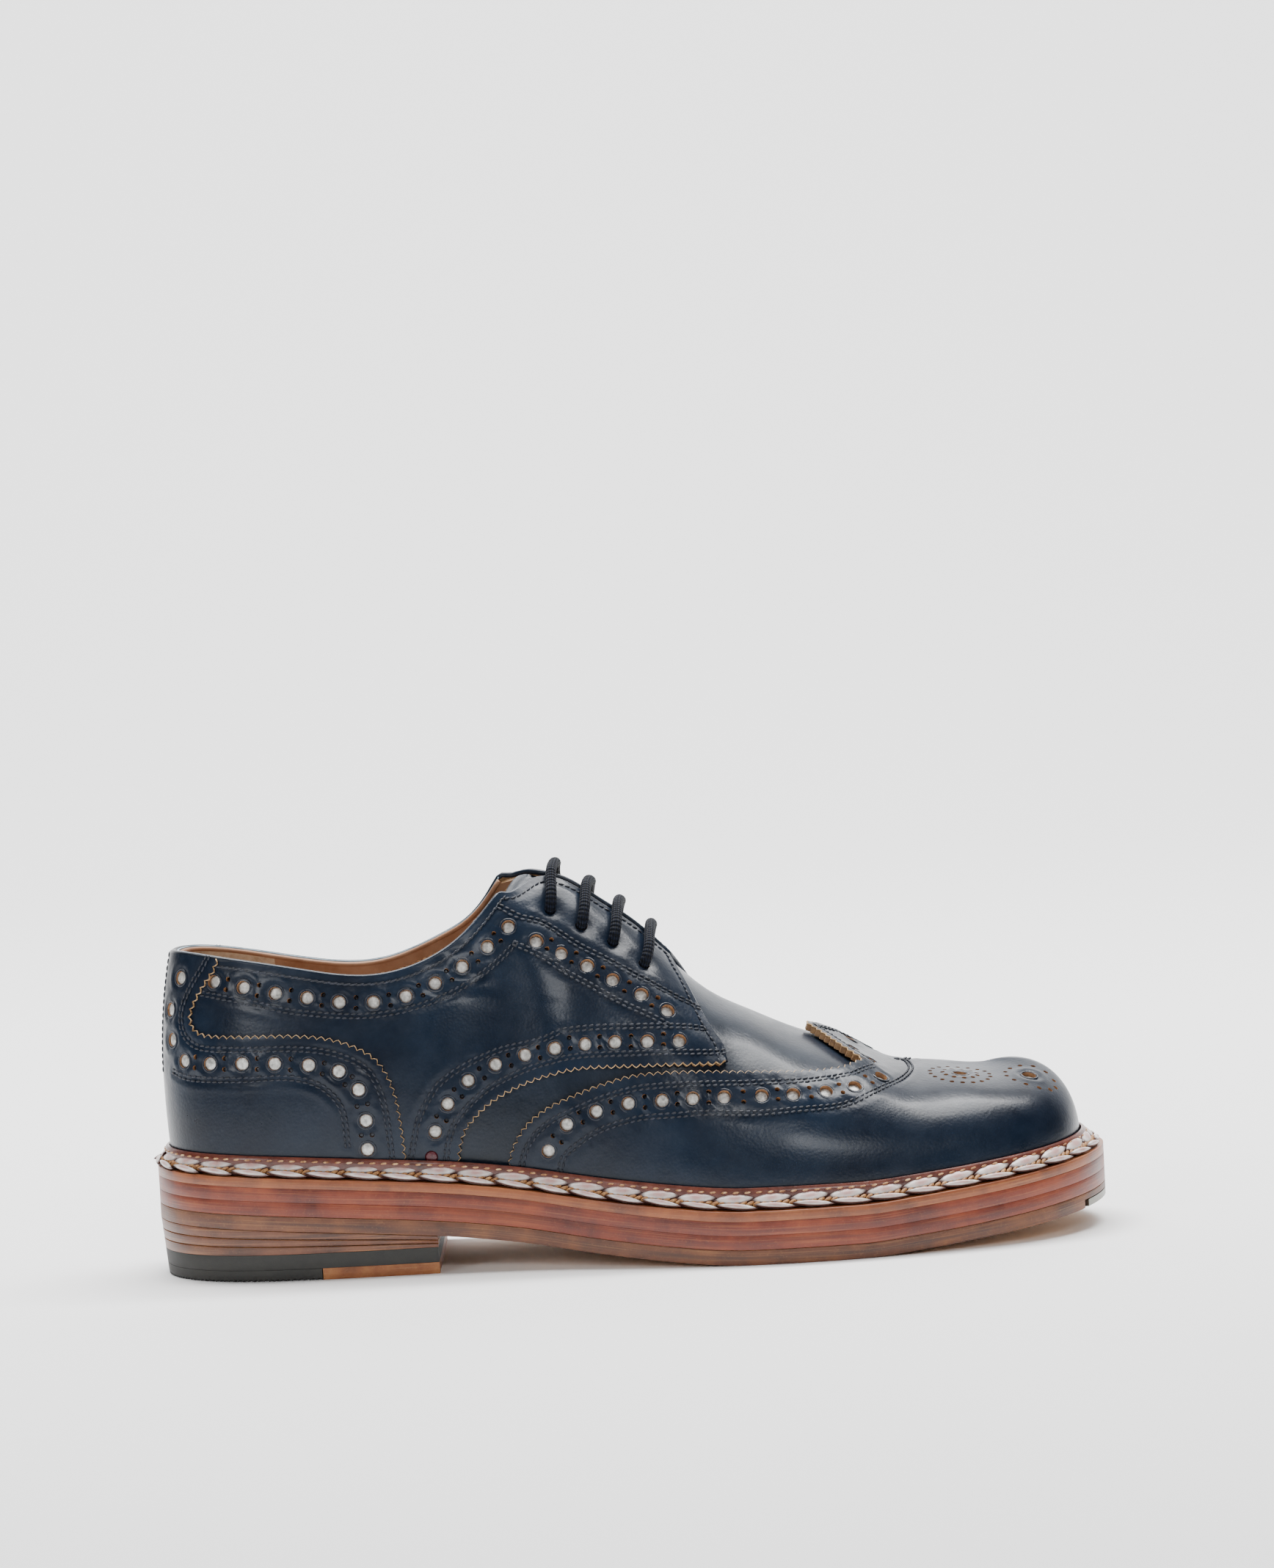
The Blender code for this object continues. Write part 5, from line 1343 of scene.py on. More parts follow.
# quarters, counter and wing
panels = {
    "low": 0.0001, "quarterHigh": last["gap"] + last["quarterWall"],
    "counterLow": last["gap"] + last["quarterWall"] + 0.0001,
    "counterHigh": last["gap"] + last["counterWall"] + 0.0003,
    "turnStep": 0.0125, "levelStep": 0.0165, "fence": 0.0006, "eyeDip": 0.0009,
    "edgeSeam": 0.0026, "foldSeam": 0.0022,
}
facingEdge = -np.linspace(-quarterFront[-1, 0], -counterEdge[0, 0], 90)
facingLine = np.stack([facingEdge, np.clip(slotEdge(facingEdge), 0, 1)], -1)
quarterRear = sideways(counterEdge, -0.0030)
quarterRear[0] = (facingLine[-1, 0] + 0.02, 1.0)
collarToRear = np.stack([np.linspace(facingLine[-1, 0], quarterRear[0, 0], 4), np.ones(4)], -1)
frontTop = np.array([quarterFront[-1], facingLine[0]])
quarterRuns = [gimped(quarterLower, -1), spaced(quarterFront, 0.0012), spaced(frontTop, 0.0012),
               spaced(facingLine, 0.0012), spaced(collarToRear, 0.0012),
               spaced(quarterRear, 0.0012),
               spaced(np.array([quarterRear[-1], quarterLower[0]]), 0.002)]
foldLine = np.concatenate([quarterFront[:-1], frontTop, facingLine[1:]])
quarterSeams = seamLines("quarter") + edgeRows(quarterLower, panels["edgeSeam"]) \
    + edgeRows(spaced(foldLine, 0.0012), panels["foldSeam"], False)
quarterBig, quarterSmall = holeRows("quarter")
eyelets = [tuple(spot) for spot in fromPixels(eyeletPixels)]


# millimetres: along the shoe, height, then lean in radians, length and depth
walkingFolds = [(-45, 92, -0.25, 22, 0.35), (-38, 84, -0.15, 24, 0.4), (-50, 100, -0.35, 16, 0.25)]
foldWidth = 2.0


def quarterFolds(places):
    # soft walking folds in front of the ankle
    x, z = places[:, 0] * 1000, places[:, 2] * 1000
    fold = 0.0
    for mx, mz, lean, length, depth in walkingFolds:
        along = (x - mx) * math.cos(lean) + (z - mz) * math.sin(lean)
        across = -(x - mx) * math.sin(lean) + (z - mz) * math.cos(lean)
        fold = fold - depth * bell(along, 0.0, length) * bell(across, 0.0, foldWidth)
    return fold * 0.001


def mirrorAll(lines):
    return [mirrored(line) for line in lines]


def flipSpots(spots):
    return [(-t, v) for t, v in spots]


panelMaterials = (leatherNavy, leatherRaw, leatherHoleWall)
common = {key: panels[key] for key in ("turnStep", "levelStep", "fence", "eyeDip")}
quarterLook = dict(common, folds=quarterFolds, rawRuns=(0,))
finished(leatherPanel("quarterOuter", quarterRuns, quarterBig, quarterSmall, eyelets, quarterSeams,
                      panels["quarterHigh"], panels["low"], panelMaterials, quarterLook),
         "navy", "quarter_lateral")
finished(leatherPanel("quarterInner", mirrorAll(quarterRuns), flipSpots(quarterBig),
                      flipSpots(quarterSmall), flipSpots(eyelets), mirrorAll(quarterSeams),
                      panels["quarterHigh"], panels["low"], panelMaterials, quarterLook),
         "navy", "quarter_medial")
print("quarters made")

counterSide = gimped(counterEdge, 1)
runPoints = {"counterTop": 40, "counterFoot": 120, "wingFoot": 220}


def levelRun(first, stop, v, count):
    # a panel's straight run from one rib angle to another
    return np.stack([np.linspace(first, stop, count), np.full(count, v)], -1)


counterTop = levelRun(counterEdge[0, 0], -counterEdge[0, 0], 1.0, runPoints["counterTop"])
counterFoot = levelRun(-counterEdge[-1, 0], counterEdge[-1, 0], counterEdge[-1, 1],
                       runPoints["counterFoot"])
counterSeams = seamLines("counter") + edgeRows(counterEdge, -panels["edgeSeam"])
counterBig, counterSmall = holeRows("counter")
strapHoles = [tuple(spot) for spot in fromPixels(strapHolePixels)]
finished(leatherPanel("heelCounter", [counterTop, mirrored(counterSide), counterFoot,
                                      counterSide[::-1]],
                      counterBig + flipSpots(counterBig) + strapHoles + flipSpots(strapHoles),
                      counterSmall + flipSpots(counterSmall), [],
                      counterSeams + mirrorAll(counterSeams), panels["counterHigh"],
                      panels["counterLow"], panelMaterials, dict(common, rawRuns=(1, 3))),
         "navy", "counter")
print("counter made")

wing = {"flapLift": 0.0017, "flapReach": 0.016, "flapFrom": 0.050, "flapOver": 0.008,
        "flapHoles": [(0.0765, -0.0115), (0.0715, -0.0035)]}
fullTurn = np.array([2 * pi, 0.0])
wingTop = np.array([wingSide[-1], shoulder, [-wingPeak, 1.0]])
wingEdge = gimped(np.concatenate([wingSide[:-1], spaced(smooth(wingTop, 6), 0.0012)]), 1)
wingEdge[:, 1] = np.minimum(wingEdge[:, 1], 1.0)
wingEdge = np.concatenate([wingEdge[wingEdge[:, 1] < 0.998], [(-wingPeak, 1.0)]])
wingInner = mirrored(wingEdge)
wingOuter = wingEdge + fullTurn
wingFoot = levelRun(wingInner[0, 0], wingOuter[0, 0], wingEdge[0, 1], runPoints["wingFoot"])
flapTree = treeOf(np.concatenate([onSkin(*spaced(wingTop, 0.002).T),
                                  onSkin(*mirrored(spaced(wingTop, 0.002)).T)]))


def flapLift(places):
    away = distanceTo(flapTree, places)
    ahead = np.clip((places[:, 0] - wing["flapFrom"]) / wing["flapOver"], 0, 1)
    return wing["flapLift"] * np.clip(1 - away / wing["flapReach"], 0, 1) ** 2 * ahead


wingSeamsHalf = seamLines("wing")
for edge in (wingSide, wingTop):
    wingSeamsHalf = wingSeamsHalf + edgeRows(edge, -panels["edgeSeam"])
wingBigHalf, wingSmallHalf = holeRows("wing")
medallion = {"pixels": [(1308.4, 1462.4), (1402.6, 1464.9)],
             "rings": [[(0.0056, 11), (0.0096, 18)], [(0.0075, 12)]]}


def medallionHoles():
    big, small = [], []
    centres = onSkin(*np.array(fromPixels(medallion["pixels"])).T)
    for (x, y), rings in zip(centres[:, :2], medallion["rings"]):
        big.append((x, y))
        for radius, count in rings:
            for k in range(count):
                angle = 2 * pi * (k + 0.5) / count
                small.append((x + radius * math.cos(angle), y + radius * math.sin(angle)))
    found = fromPlan(np.array(big + small))
    found = [(t % (2 * pi), v) for t, v in found]
    return found[:len(big)], found[len(big):]


medalBig, medalSmall = medallionHoles()
flapHoles = [tuple(spot) for spot in fromPlan(wing["flapHoles"])]
wingBigHalf = wingBigHalf + flapHoles
wingBig = [(t + 2 * pi, v) for t, v in wingBigHalf] + flipSpots(wingBigHalf) + medalBig
wingSmall = [(t + 2 * pi, v) for t, v in wingSmallHalf] + flipSpots(wingSmallHalf) + medalSmall
wingSeams = wingSeamsHalf + mirrorAll(wingSeamsHalf)
finished(leatherPanel("wingCap", [wingOuter, wingInner[::-1], wingFoot],
                      wingBig, wingSmall, [], wingSeams, panels["quarterHigh"], panels["low"],
                      panelMaterials,
                      dict(common, lift=flapLift, overCrown=True, rawRuns=(0, 1))),
         "navy", "wing_cap")
print("wing made")


# seams, pressed rims and the bright backing behind the holes
stitch = {"Pitch": 0.0021, "Length": 0.0020, "Width": 0.00075, "Height": 0.0006, "Slant": 0.14,
          "Lean": 0.0, "Point": 0.1, "Fineness": 6, "Rings": 5, "Material": navyThread}
trim = {"bigRim": 0.00272, "smallRim": 0.00108, "eyeRim": 0.0023, "lip": 0.11, "disc": 0.00235,
        "smallDisc": 0.0008, "backing": 0.0002, "waxRise": 0.0001, "waxRadius": 0.0021,
        "seamStep": 0.0014}


def outAt(theta, v, offset, lift=None):
    # distance from the skin, with the wing's raised edge under it where there is one
    return offset + (lift(onSkin(theta, v)) if lift else np.zeros(theta.shape))


def sewn(name, lines, offset, slotName="navy", values=stitch, lift=None):
    places, ups = [], []
    for line in lines:
        theta, v = spaced(line, trim["seamStep"]).T
        v = np.clip(v, 0.0, 1.0)
        places.append(skin(theta, v, outAt(theta, v, offset, lift)))
        ups.append(skinNormal(theta, v))
    return finished(grown(name, places, beadRow, values, ups), slotName)


def onSpots(name, spots, offset, reach, filled, material, lift=None):
    theta, v = np.array(spots).T
    values = {"Lip": trim["lip"], "Filled": filled, "Material": material}
    places = skin(theta, v, outAt(theta, v, offset, lift))
    made = grown(name, [places], rimSpots, values, [skinNormal(theta, v)], reach)
    return finished(made, "navy")


def holeTrim(name, big, small, high, low, lift=None):
    spots = list(big) + list(small)
    onSpots(name + "Rims", spots, high - 0.0002,
            [trim["bigRim"]] * len(big) + [trim["smallRim"]] * len(small), False, pressedRim, lift)
    onSpots(name + "Backing", big, low + trim["backing"], [trim["disc"]] * len(big), True, foil,
            lift)
    onSpots(name + "Pits", small, low + trim["backing"], [trim["smallDisc"]] * len(small), True,
            pressedRim, lift)


seamRise = 0.00006
collarSeam = {"from": -1.42, "to": -0.52, "points": 80, "down": 0.0024}      # rib angles
collarTurns = np.linspace(collarSeam["from"], collarSeam["to"], collarSeam["points"])
topSeam = sideways(np.stack([collarTurns, np.ones(len(collarTurns))], -1), collarSeam["down"])
quarterSewn = quarterSeams + [topSeam]
sewn("quarterStitchesOuter", quarterSewn, panels["quarterHigh"] + seamRise)
sewn("quarterStitchesInner", mirrorAll(quarterSewn), panels["quarterHigh"] + seamRise)
# beside the back strap's middle
backSeam = np.array([(-0.05, 0.42), (-0.05, 0.70), (-0.05, 0.985)])
counterSewn = counterSeams + [backSeam]
sewn("counterStitches", counterSewn + mirrorAll(counterSewn), panels["counterHigh"] + seamRise)
sewn("wingStitches", wingSeams, panels["quarterHigh"] + seamRise, lift=flapLift)
holeTrim("quarterOuter", quarterBig, quarterSmall, panels["quarterHigh"], panels["low"])
holeTrim("quarterInner", flipSpots(quarterBig), flipSpots(quarterSmall), panels["quarterHigh"],
         panels["low"])
holeTrim("counter", counterBig + flipSpots(counterBig) + strapHoles + flipSpots(strapHoles),
         counterSmall + flipSpots(counterSmall), panels["counterHigh"], panels["counterLow"])
holeTrim("wing", wingBig, wingSmall, panels["quarterHigh"], panels["low"], flapLift)
onSpots("eyeletRims", eyelets + flipSpots(eyelets), panels["quarterHigh"] - panels["eyeDip"],
        [trim["eyeRim"]] * (2 * len(eyelets)), False, pressedRim)
waxSpot = fromPixels([waxSpotPixel])
onSpots("waxSpot", waxSpot, panels["quarterHigh"] + trim["waxRise"], [trim["waxRadius"]], True,
        redWax)
print("seams and holes made")

# folded edges, collar roll and piping
rolls = {"edge": 0.00092, "lining": 0.00085, "piping": 0.00035, "facing": 0.00095, "lip": 0.00028,
         "points": 220, "liningSeam": 0.0040, "strapEnds": (0.46, 0.60)}


def rolled(name, line, offset, radius, material, slotName="navy"):
    theta, v = np.array(line).T
    path = skin(theta, v, np.full(theta.shape, offset))
    return finished(sweep(name, path, radius, 10, material), slotName)


def rawLip(name, lines, offset, lift=None):
    # the pale cut edge that shows along the gimped teeth
    for k, line in enumerate(lines):
        theta, v = np.array(line).T
        v = np.clip(v, 0.0, 1.0)
        path = skin(theta, v, outAt(theta, v, offset, lift))
        finished(sweep("%s%d" % (name, k + 1), path, rolls["lip"], 6, leatherLip), "navy")


rawLip("quarterLip", [quarterRuns[0], mirrored(quarterRuns[0])],
       panels["quarterHigh"] - rolls["lip"])
rawLip("counterLip", [counterSide, mirrored(counterSide)], panels["counterHigh"] - rolls["lip"])
rawLip("wingLip", [wingEdge, mirrored(wingEdge)], panels["quarterHigh"] - rolls["lip"], flapLift)
halfWall = (panels["low"] + panels["quarterHigh"]) / 2
rolled("facingRollOuter", spaced(foldLine, 0.0015), halfWall, rolls["facing"], leatherNavy)
rolled("facingRollInner", mirrored(spaced(foldLine, 0.0015)), halfWall, rolls["facing"],
       leatherNavy)
collarTurn = np.linspace(-last["slotTop"] + 0.01, last["slotTop"] - 0.01, rolls["points"])
collarLevel = np.ones(rolls["points"])
atStrap = 1 - ease(*rolls["strapEnds"], np.abs(collarTurn))       # the roll follows the back strap
collarOut = halfWall + (panels["counterHigh"] - panels["quarterHigh"]) / 2 * atStrap
finished(sweep("collarRoll", skin(collarTurn, collarLevel, collarOut), rolls["edge"], 10,
               leatherNavyEdge), "navy")
liningPath = skin(collarTurn, collarLevel, -last["wall"] * 0.55 * collarLevel)
finished(sweep("liningRoll", liningPath - [0, 0, 0.0002], rolls["lining"], 10, leatherLining),
         "lining")
pipingPath = skin(collarTurn, collarLevel, 0.00005 * collarLevel) + [0, 0, 0.0006]
finished(sweep("collarPiping", pipingPath, rolls["piping"], 8, leatherPiping), "navy")
collarSlope = 3 * np.linalg.norm(rib(collarTurn)[3] - rib(collarTurn)[2], axis=-1)
liningSeam = [np.stack([collarTurn, 1 - rolls["liningSeam"] / collarSlope], -1)]
sewn("liningStitches", liningSeam, -last["wall"] - 0.0001, "lining",
     dict(stitch, Material=tanThread))

# laces
lace = {"radius": 0.00175, "rest": 0.0008, "lift": 0.0009, "stops": (0.80, 0.62, 0.45, 0.30),
        "sunk": -0.0004}


def laceBar(number, theta, v):
    low, high = onSkin(theta, v), onSkin(-theta, v)
    middle, half = (low + high)[1] / 2, (high - low)[1] / 2
    rest = panels["quarterHigh"] + lace["rest"] + lace["radius"]
    found = fromPlan([(foot[0], middle + sign * half * share)
                      for sign, foot in ((-1, low), (1, high))
                      for share in lace["stops"]])
    sides = []
    for first, angle in ((0, theta), (len(lace["stops"]), -theta)):
        sunk = skin(np.array([angle]), np.array([v]), [lace["sunk"]])[0]
        brink = skin(np.array([angle]), np.array([v]), [panels["quarterHigh"] + 0.0004])[0]
        spots = found[first:first + len(lace["stops"])]
        over = skin(*spots.T, np.full(len(spots), rest))
        sides.append(np.concatenate([[sunk, brink * 0.8 + over[0] * 0.2], over]))
    top = (sides[0][-1] + sides[1][-1]) / 2 + [0, 0, lace["lift"]]
    path = smooth(np.concatenate([sides[0], [top], sides[1][::-1]]), 8)
    length = np.linalg.norm(np.diff(path, axis=0), axis=1).sum()
    print("lace bar", number, "length in mm", round(length * 1000, 1))
    made = sweep("laceBar%d" % number, path, lace["radius"], 16, laceCord, "cordMap",
                 up=(1.0, 0.0, 0.0))
    return finished(made, "lace", "lace_bar_%d" % number)


for i, (theta, v) in enumerate(eyelets):
    laceBar(i + 1, theta, v)
print("laces made")


# sole unit
sole = {"round": 0.00008, "weltInner": 0.0060, "insole": 0.0030, "randHeight": 0.0064,
        "randWall": 0.0015,
        "heel": 0.0900, "skew": 0.0067, "taper": 0.0016, "toplift": 0.0035, "rubber": 0.0045,
        "split": 0.0530,
        "lifts": 3, "sidePoints": 70, "frontPoints": 30, "teeth": 90, "plateDepth": 0.0034,
        "plateThick": 0.0026, "plateAngle": 0.42, "points": 240, "notch": 0.0006}
around = np.arange(sole["points"]) * 2 * pi / sole["points"]


def atHeight(plan, height):
    return np.concatenate([plan, np.asarray(height)[..., None]], -1) - shoeCentre


def soleRing(inset, lift):
    plan = soleLine(around, inset)
    return atHeight(plan, underside(plan[:, 0]) + lift)


def layered(name, rings, pick, materials, capped=True, level=True):
    # rings joined into a closed body; the edge map runs along in metres, and up from the sole's
    # underside
    count = len(rings[0])
    rings = np.array(rings)
    run = np.append(0, np.cumsum(np.linalg.norm(np.diff(np.concatenate([rings[1], rings[1][:1]]),
                                                        axis=0), axis=1)))
    base = underside(rings[..., 0] + shoeCentre[0]) if level else 0.0
    high = rings[..., 2] - base
    faces, uvs, index = [], [], []
    lastRing = len(rings) if not capped else len(rings) - 1
    for k in range(lastRing):
        n = (k + 1) % len(rings)
        for i in range(count):
            j = (i + 1) % count
            faces.append((k * count + i, k * count + j, n * count + j, n * count + i))
            uvs += [(run[i], high[k, i]), (run[i + 1], high[k, j]), (run[i + 1], high[n, j]),
                    (run[i], high[n, i])]
            index.append(pick(k))
    if capped:
        half = count // 2
        for k, kind in ((0, 1), (len(rings) - 1, 1)):
            pairs = [(0, 0)] + [(i, count - i) for i in range(1, half)] + [(half, half)]
            if not level or len(rings[0]) % 2:
                pairs = [(i, count - 1 - i) for i in range((count + 1) // 2)]
            for (a, b), (c, d) in zip(pairs, pairs[1:]):
                face = list(dict.fromkeys([a, b, d, c]))
                if len(face) > 2:
                    faces.append([k * count + i for i in face])
                    uvs += [tuple(rings[k][i][:2]) for i in face]
                    index.append(kind)
    mesh = meshOf(name, rings.reshape(-1, 3), faces)
    layer = mesh.uv_layers.new(name="edgeMap")
    layer.data.foreach_set("uv", np.array(uvs, np.float32).ravel())
    mesh.polygons.foreach_set("material_index", index)
    setOutward(mesh, sharpDegrees=40)
    return newObject(name, mesh, *materials)


def edgeSteps(low, high):
    # (inset, lift) round a layer's edge
    r = sole["round"]
    return [(r, low), (r * 0.25, low + r * 0.4), (0.0, low + r), (0.0, high - r),
            (r * 0.25, high - r * 0.4), (r, high)]


gapZ = last["clearance"]
seam = gapZ * 0.45                # a layer reaches this far into the gap beside it
levels = np.cumsum([0.0, last["outsole"], gapZ, last["midsole"], gapZ, last["midsole"], gapZ])


def plateWindow(theta):
    away = np.abs(wrap(theta - pi))
    return 1 - ease(sole["plateAngle"] * 0.70, sole["plateAngle"] * 0.76, away)


def outsoleRing(inset, lift, opened):
    plan = soleLine(around, inset + opened * sole["plateDepth"] * plateWindow(around))
    return atHeight(plan, underside(plan[:, 0]) + lift)


r = sole["round"]
steps = [(r, 0.0, 1), (r * 0.3, r * 0.6, 1), (0.0, r * 1.2, 1), (0.0, sole["plateThick"], 1),
         (0.0, sole["plateThick"] + 0.00005, 0), (0.0, last["outsole"] - r, 0),
         (r * 0.25, last["outsole"] - r * 0.4, 0), (r, last["outsole"], 0)]
finished(layered("outsoleLeather", [outsoleRing(*step) for step in steps], lambda k: 0,
                 (edgeDark, soleGrain)), "sole_dark", "outsole")
for name, low, high, node in (("midsoleLower", levels[2], levels[3], "midsole_lower"),
                              ("midsoleUpper", levels[4], levels[5], "midsole_upper")):
    rings = [soleRing(*step) for step in edgeSteps(low - seam, high + seam)]
    finished(layered(name, rings, lambda k: 0, (edgeRed, soleGrain)), "sole_red", node)
weltLow = levels[6]
innerPlan = feather(around) - planNormal(around) * sole["weltInner"]
weltRings = [soleRing(inset, lift) for inset, lift in edgeSteps(weltLow - seam, soleStack)]
weltRings = ([atHeight(innerPlan, underside(innerPlan[:, 0]) + weltLow)] + weltRings
             + [atHeight(innerPlan, underside(innerPlan[:, 0]) + soleStack)])
finished(layered("weltStrip", weltRings, lambda k: 0, (edgeTan, edgeTan), capped=False), "welt_tan",
         "welt")
sockPlan = feather(around) - planNormal(around) * (last["wall"] + 2 * gapZ)
lowPlan = feather(around) - planNormal(around) * (sole["weltInner"] + gapZ)
sockRings = [atHeight(plan, underside(plan[:, 0]) + lift) for plan, lift in (
    (lowPlan, weltLow), (lowPlan, soleStack + gapZ), (sockPlan, soleStack + gapZ),
    (sockPlan, soleStack + gapZ + sole["insole"] - 0.0005),
    (sockPlan, soleStack + gapZ + sole["insole"]))]
finished(layered("insoleSock", sockRings, lambda k: 0, (leatherLining, leatherLining)), "lining",
         "insole")

plateTurn = np.linspace(-0.7, 0.7, 40) * sole["plateAngle"] + pi
plateBack = soleLine(plateTurn, r + sole["plateDepth"] - gapZ)
plateFront = soleLine(plateTurn, r * 0.5)
plateRings = [atHeight(plan, underside(plan[:, 0]) + lift) for plan, lift in (
    (plateBack, gapZ / 2), (plateFront, gapZ / 2), (plateFront, sole["plateThick"] - gapZ),
    (plateBack, sole["plateThick"] - gapZ))]
count = len(plateTurn)
plateFaces = [(0, count, 2 * count, 3 * count),
              (count - 1, 4 * count - 1, 3 * count - 1, 2 * count - 1)]
for k in range(4):
    a, b = k * count, (k + 1) % 4 * count
    plateFaces += [(a + i, a + i + 1, b + i + 1, b + i) for i in range(count - 1)]
plate = meshOf("toePlate", np.concatenate(plateRings), plateFaces, False)
setOutward(plate)
finished(newObject("toePlate", plate, toeSteel), "steel", "toe_plate")
print("sole made")


# heel, layer by layer: levels run from the floor to the outsole
leatherTop, rubberTop = 0.2, 0.45


def angleAt(x, side, inset):
    # the turn at which the sole's line passes x
    angles = np.linspace(0.02, 1.8, 400) * side
    return float(np.interp(x, soleLine(angles, inset)[:, 0], angles))


def heelRing(level, height, inset=0.0, start=None):
    taper = sole["taper"] * (1 - level) + inset
    outer = sole["heel"] - backMargin
    inner = outer + sole["skew"] * max(0.0, (level - rubberTop) / (1 - rubberTop))
    ends = angleAt(outer, -1, taper), angleAt(inner, 1, taper)
    if start is None:
        shares = np.linspace(1, 0, sole["sidePoints"])
        angles = np.concatenate([ends[0] * shares, (ends[1] * shares[::-1])[1:]])
    else:
        starts = angleAt(start, -1, taper), angleAt(start, 1, taper)
        shares = np.linspace(1, 0, sole["frontPoints"])
        angles = np.concatenate([starts[0] + (ends[0] - starts[0]) * shares,
                                 starts[1] + (ends[1] - starts[1]) * shares[::-1]])
    plan = soleLine(angles, taper)
    return atHeight(plan, height(plan[:, 0]))


def heelRingCut(level, z, inset, cut, notch):
    # the rear part: round the back only, as far as the seam across
    taper = sole["taper"] * (1 - level) + inset
    ends = angleAt(cut, -1, taper), angleAt(cut, 1, taper)
    shares = np.linspace(1, 0, sole["teeth"])
    angles = np.concatenate([ends[0] * shares, (ends[1] * shares[::-1])[1:]])
    plan = soleLine(angles, taper)
    teeth = (np.arange(len(plan)) % 2) * sole["notch"] * notch
    return atHeight(plan, z + teeth)


def heelLayer(name, lowLevel, low, highLevel, high, materials, slotName, node, start=None):
    rings = []
    for inset, share, nudge in ((r, 0.0, 0.0), (r * 0.25, 0.0, r * 0.4), (0.0, 0.0, r),
                                (0.0, 1.0, -r), (r * 0.25, 1.0, -r * 0.4), (r, 1.0, 0.0)):
        base = high if share else low
        level = highLevel if share else lowLevel
        rings.append(heelRing(level, lambda x, base=base, nudge=nudge: base(x) + nudge, inset,
                              start))
    made = layered(name, rings, lambda k: 0, materials, level=False)
    return finished(made, slotName, node)


def flat(value):
    return lambda x: np.full_like(x, value)


liftsFrom = sole["toplift"] + sole["rubber"] + 2 * gapZ
splitX = sole["split"] - backMargin
# level, height, inset and depth of the notches, from the floor up
notched = [(0.0, 0.0, r, 1.0), (0.0, 0.0003, 0.0, 1.0), (0.1, 0.0019, 0.0, 0.0),
           (leatherTop, sole["toplift"] + seam - r, 0.0, 0.0),
           (leatherTop, sole["toplift"] + seam, r, 0.0)]
finished(layered("topliftRubber", [heelRingCut(level, z, inset, splitX, notch)
                                   for level, z, inset, notch in notched], lambda k: 0,
                 (heelRubber, heelRubber), level=False), "rubber", "toplift_rubber")
heelLayer("topliftLeather", 0.0, flat(0.0), leatherTop, flat(sole["toplift"] + seam),
          (edgeTopLift, soleGrain), "welt_tan", "toplift_leather", splitX + gapZ)
heelLayer("heelRubber", leatherTop, flat(sole["toplift"] + gapZ - seam), rubberTop,
          flat(liftsFrom - gapZ + seam), (heelRubber, heelRubber), "rubber", "heel_rubber")


def liftHeight(share, gap):
    close = seam if share else -seam
    return lambda x: liftsFrom + (underside(x) - gapZ - liftsFrom) * share + gap + close


for k in range(sole["lifts"]):
    low, high = k / sole["lifts"], (k + 1) / sole["lifts"]
    lowLevel, highLevel = [rubberTop + (1 - rubberTop) * share for share in (low, high)]
    heelLayer("heelLift%d" % (k + 1), lowLevel, liftHeight(low, 0.0), highLevel,
              liftHeight(high, 0.0 if k == sole["lifts"] - 1 else -gapZ), (edgeLift, soleGrain),
              "sole_dark", "heel_lift_%d" % (k + 1))
print("heel made")

# storm rand and its stitches
nearFront = last["gap"] + last["quarterWall"] + 2 * gapZ
nearHeel = last["gap"] + last["counterWall"] + 2 * gapZ


def randInside(theta):
    counterEnd = (0.26, 0.30)        # where the thicker counter panel stops, as a share of length
    return nearFront + (nearHeel - nearFront) * (1 - ease(*counterEnd, (1 - np.cos(theta)) / 2))


def randRow(theta, rise, out):
    foot, first = rib(theta)[:2]
    share = rise * sole["randHeight"] / (3 * np.linalg.norm(first - foot, axis=-1))
    points = onSkin(theta, share)
    points[..., :2] += planNormal(theta) * (randInside(theta) + out)[..., None]
    if rise == 0.0:
        points[..., 2] = weltTop(points[..., 0] + shoeCentre[0]) + gapZ
    return points


wall = sole["randWall"]
randRings = [randRow(around, rise, np.full(around.shape, out)) for rise, out in (
    (0.0, 0.0), (0.0, wall), (0.4, wall), (0.75, wall), (0.9, wall * 0.85), (1.0, wall * 0.5),
    (1.0, 0.0))]
finished(layered("stormRand", randRings, lambda k: 0, (leatherRand, leatherRand), capped=False),
         "sole_red", "storm_rand")
randSeam = randRow(around, 0.80, np.full(around.shape, wall))
randUps = np.concatenate([planNormal(around), np.full((len(around), 1), 0.5)], -1)
randStitch = dict(stitch, Pitch=0.0036, Length=0.0022, Width=0.0007, Height=0.0006,
                  Material=tanThread)
finished(grown("randStitches", [np.concatenate([randSeam, randSeam[:1]])], beadRow, randStitch,
               [np.concatenate([unit(randUps), unit(randUps[:1])])]), "welt_tan")
print("rand made")

# plaited welt
plait = {
    "pitch": 0.0118, "length": 0.0134, "width": 0.0041, "height": 0.0022, "lowWidth": 0.0019,
    "upperRise": 0.0034, "lowerRise": 0.0014, "upperOut": 0.0042, "lowerOut": 0.0069, "slant": 0.10,
    "tilt": 0.75,
}


def plaitLine(out, rise, phase=0.0):
    theta = np.linspace(0, 2 * pi, 900) + phase
    base = feather(theta) + planNormal(theta) * out
    return atHeight(base, weltTop(base[:, 0]) + rise), theta


def plaitRow(out, rise, phase, values):
    line, theta = plaitLine(out, rise, phase)
    tilt = plait["tilt"]
    ups = np.concatenate([planNormal(theta) * math.sin(tilt),
                          np.full((len(theta), 1), math.cos(tilt))], -1)
    return line, ups, values


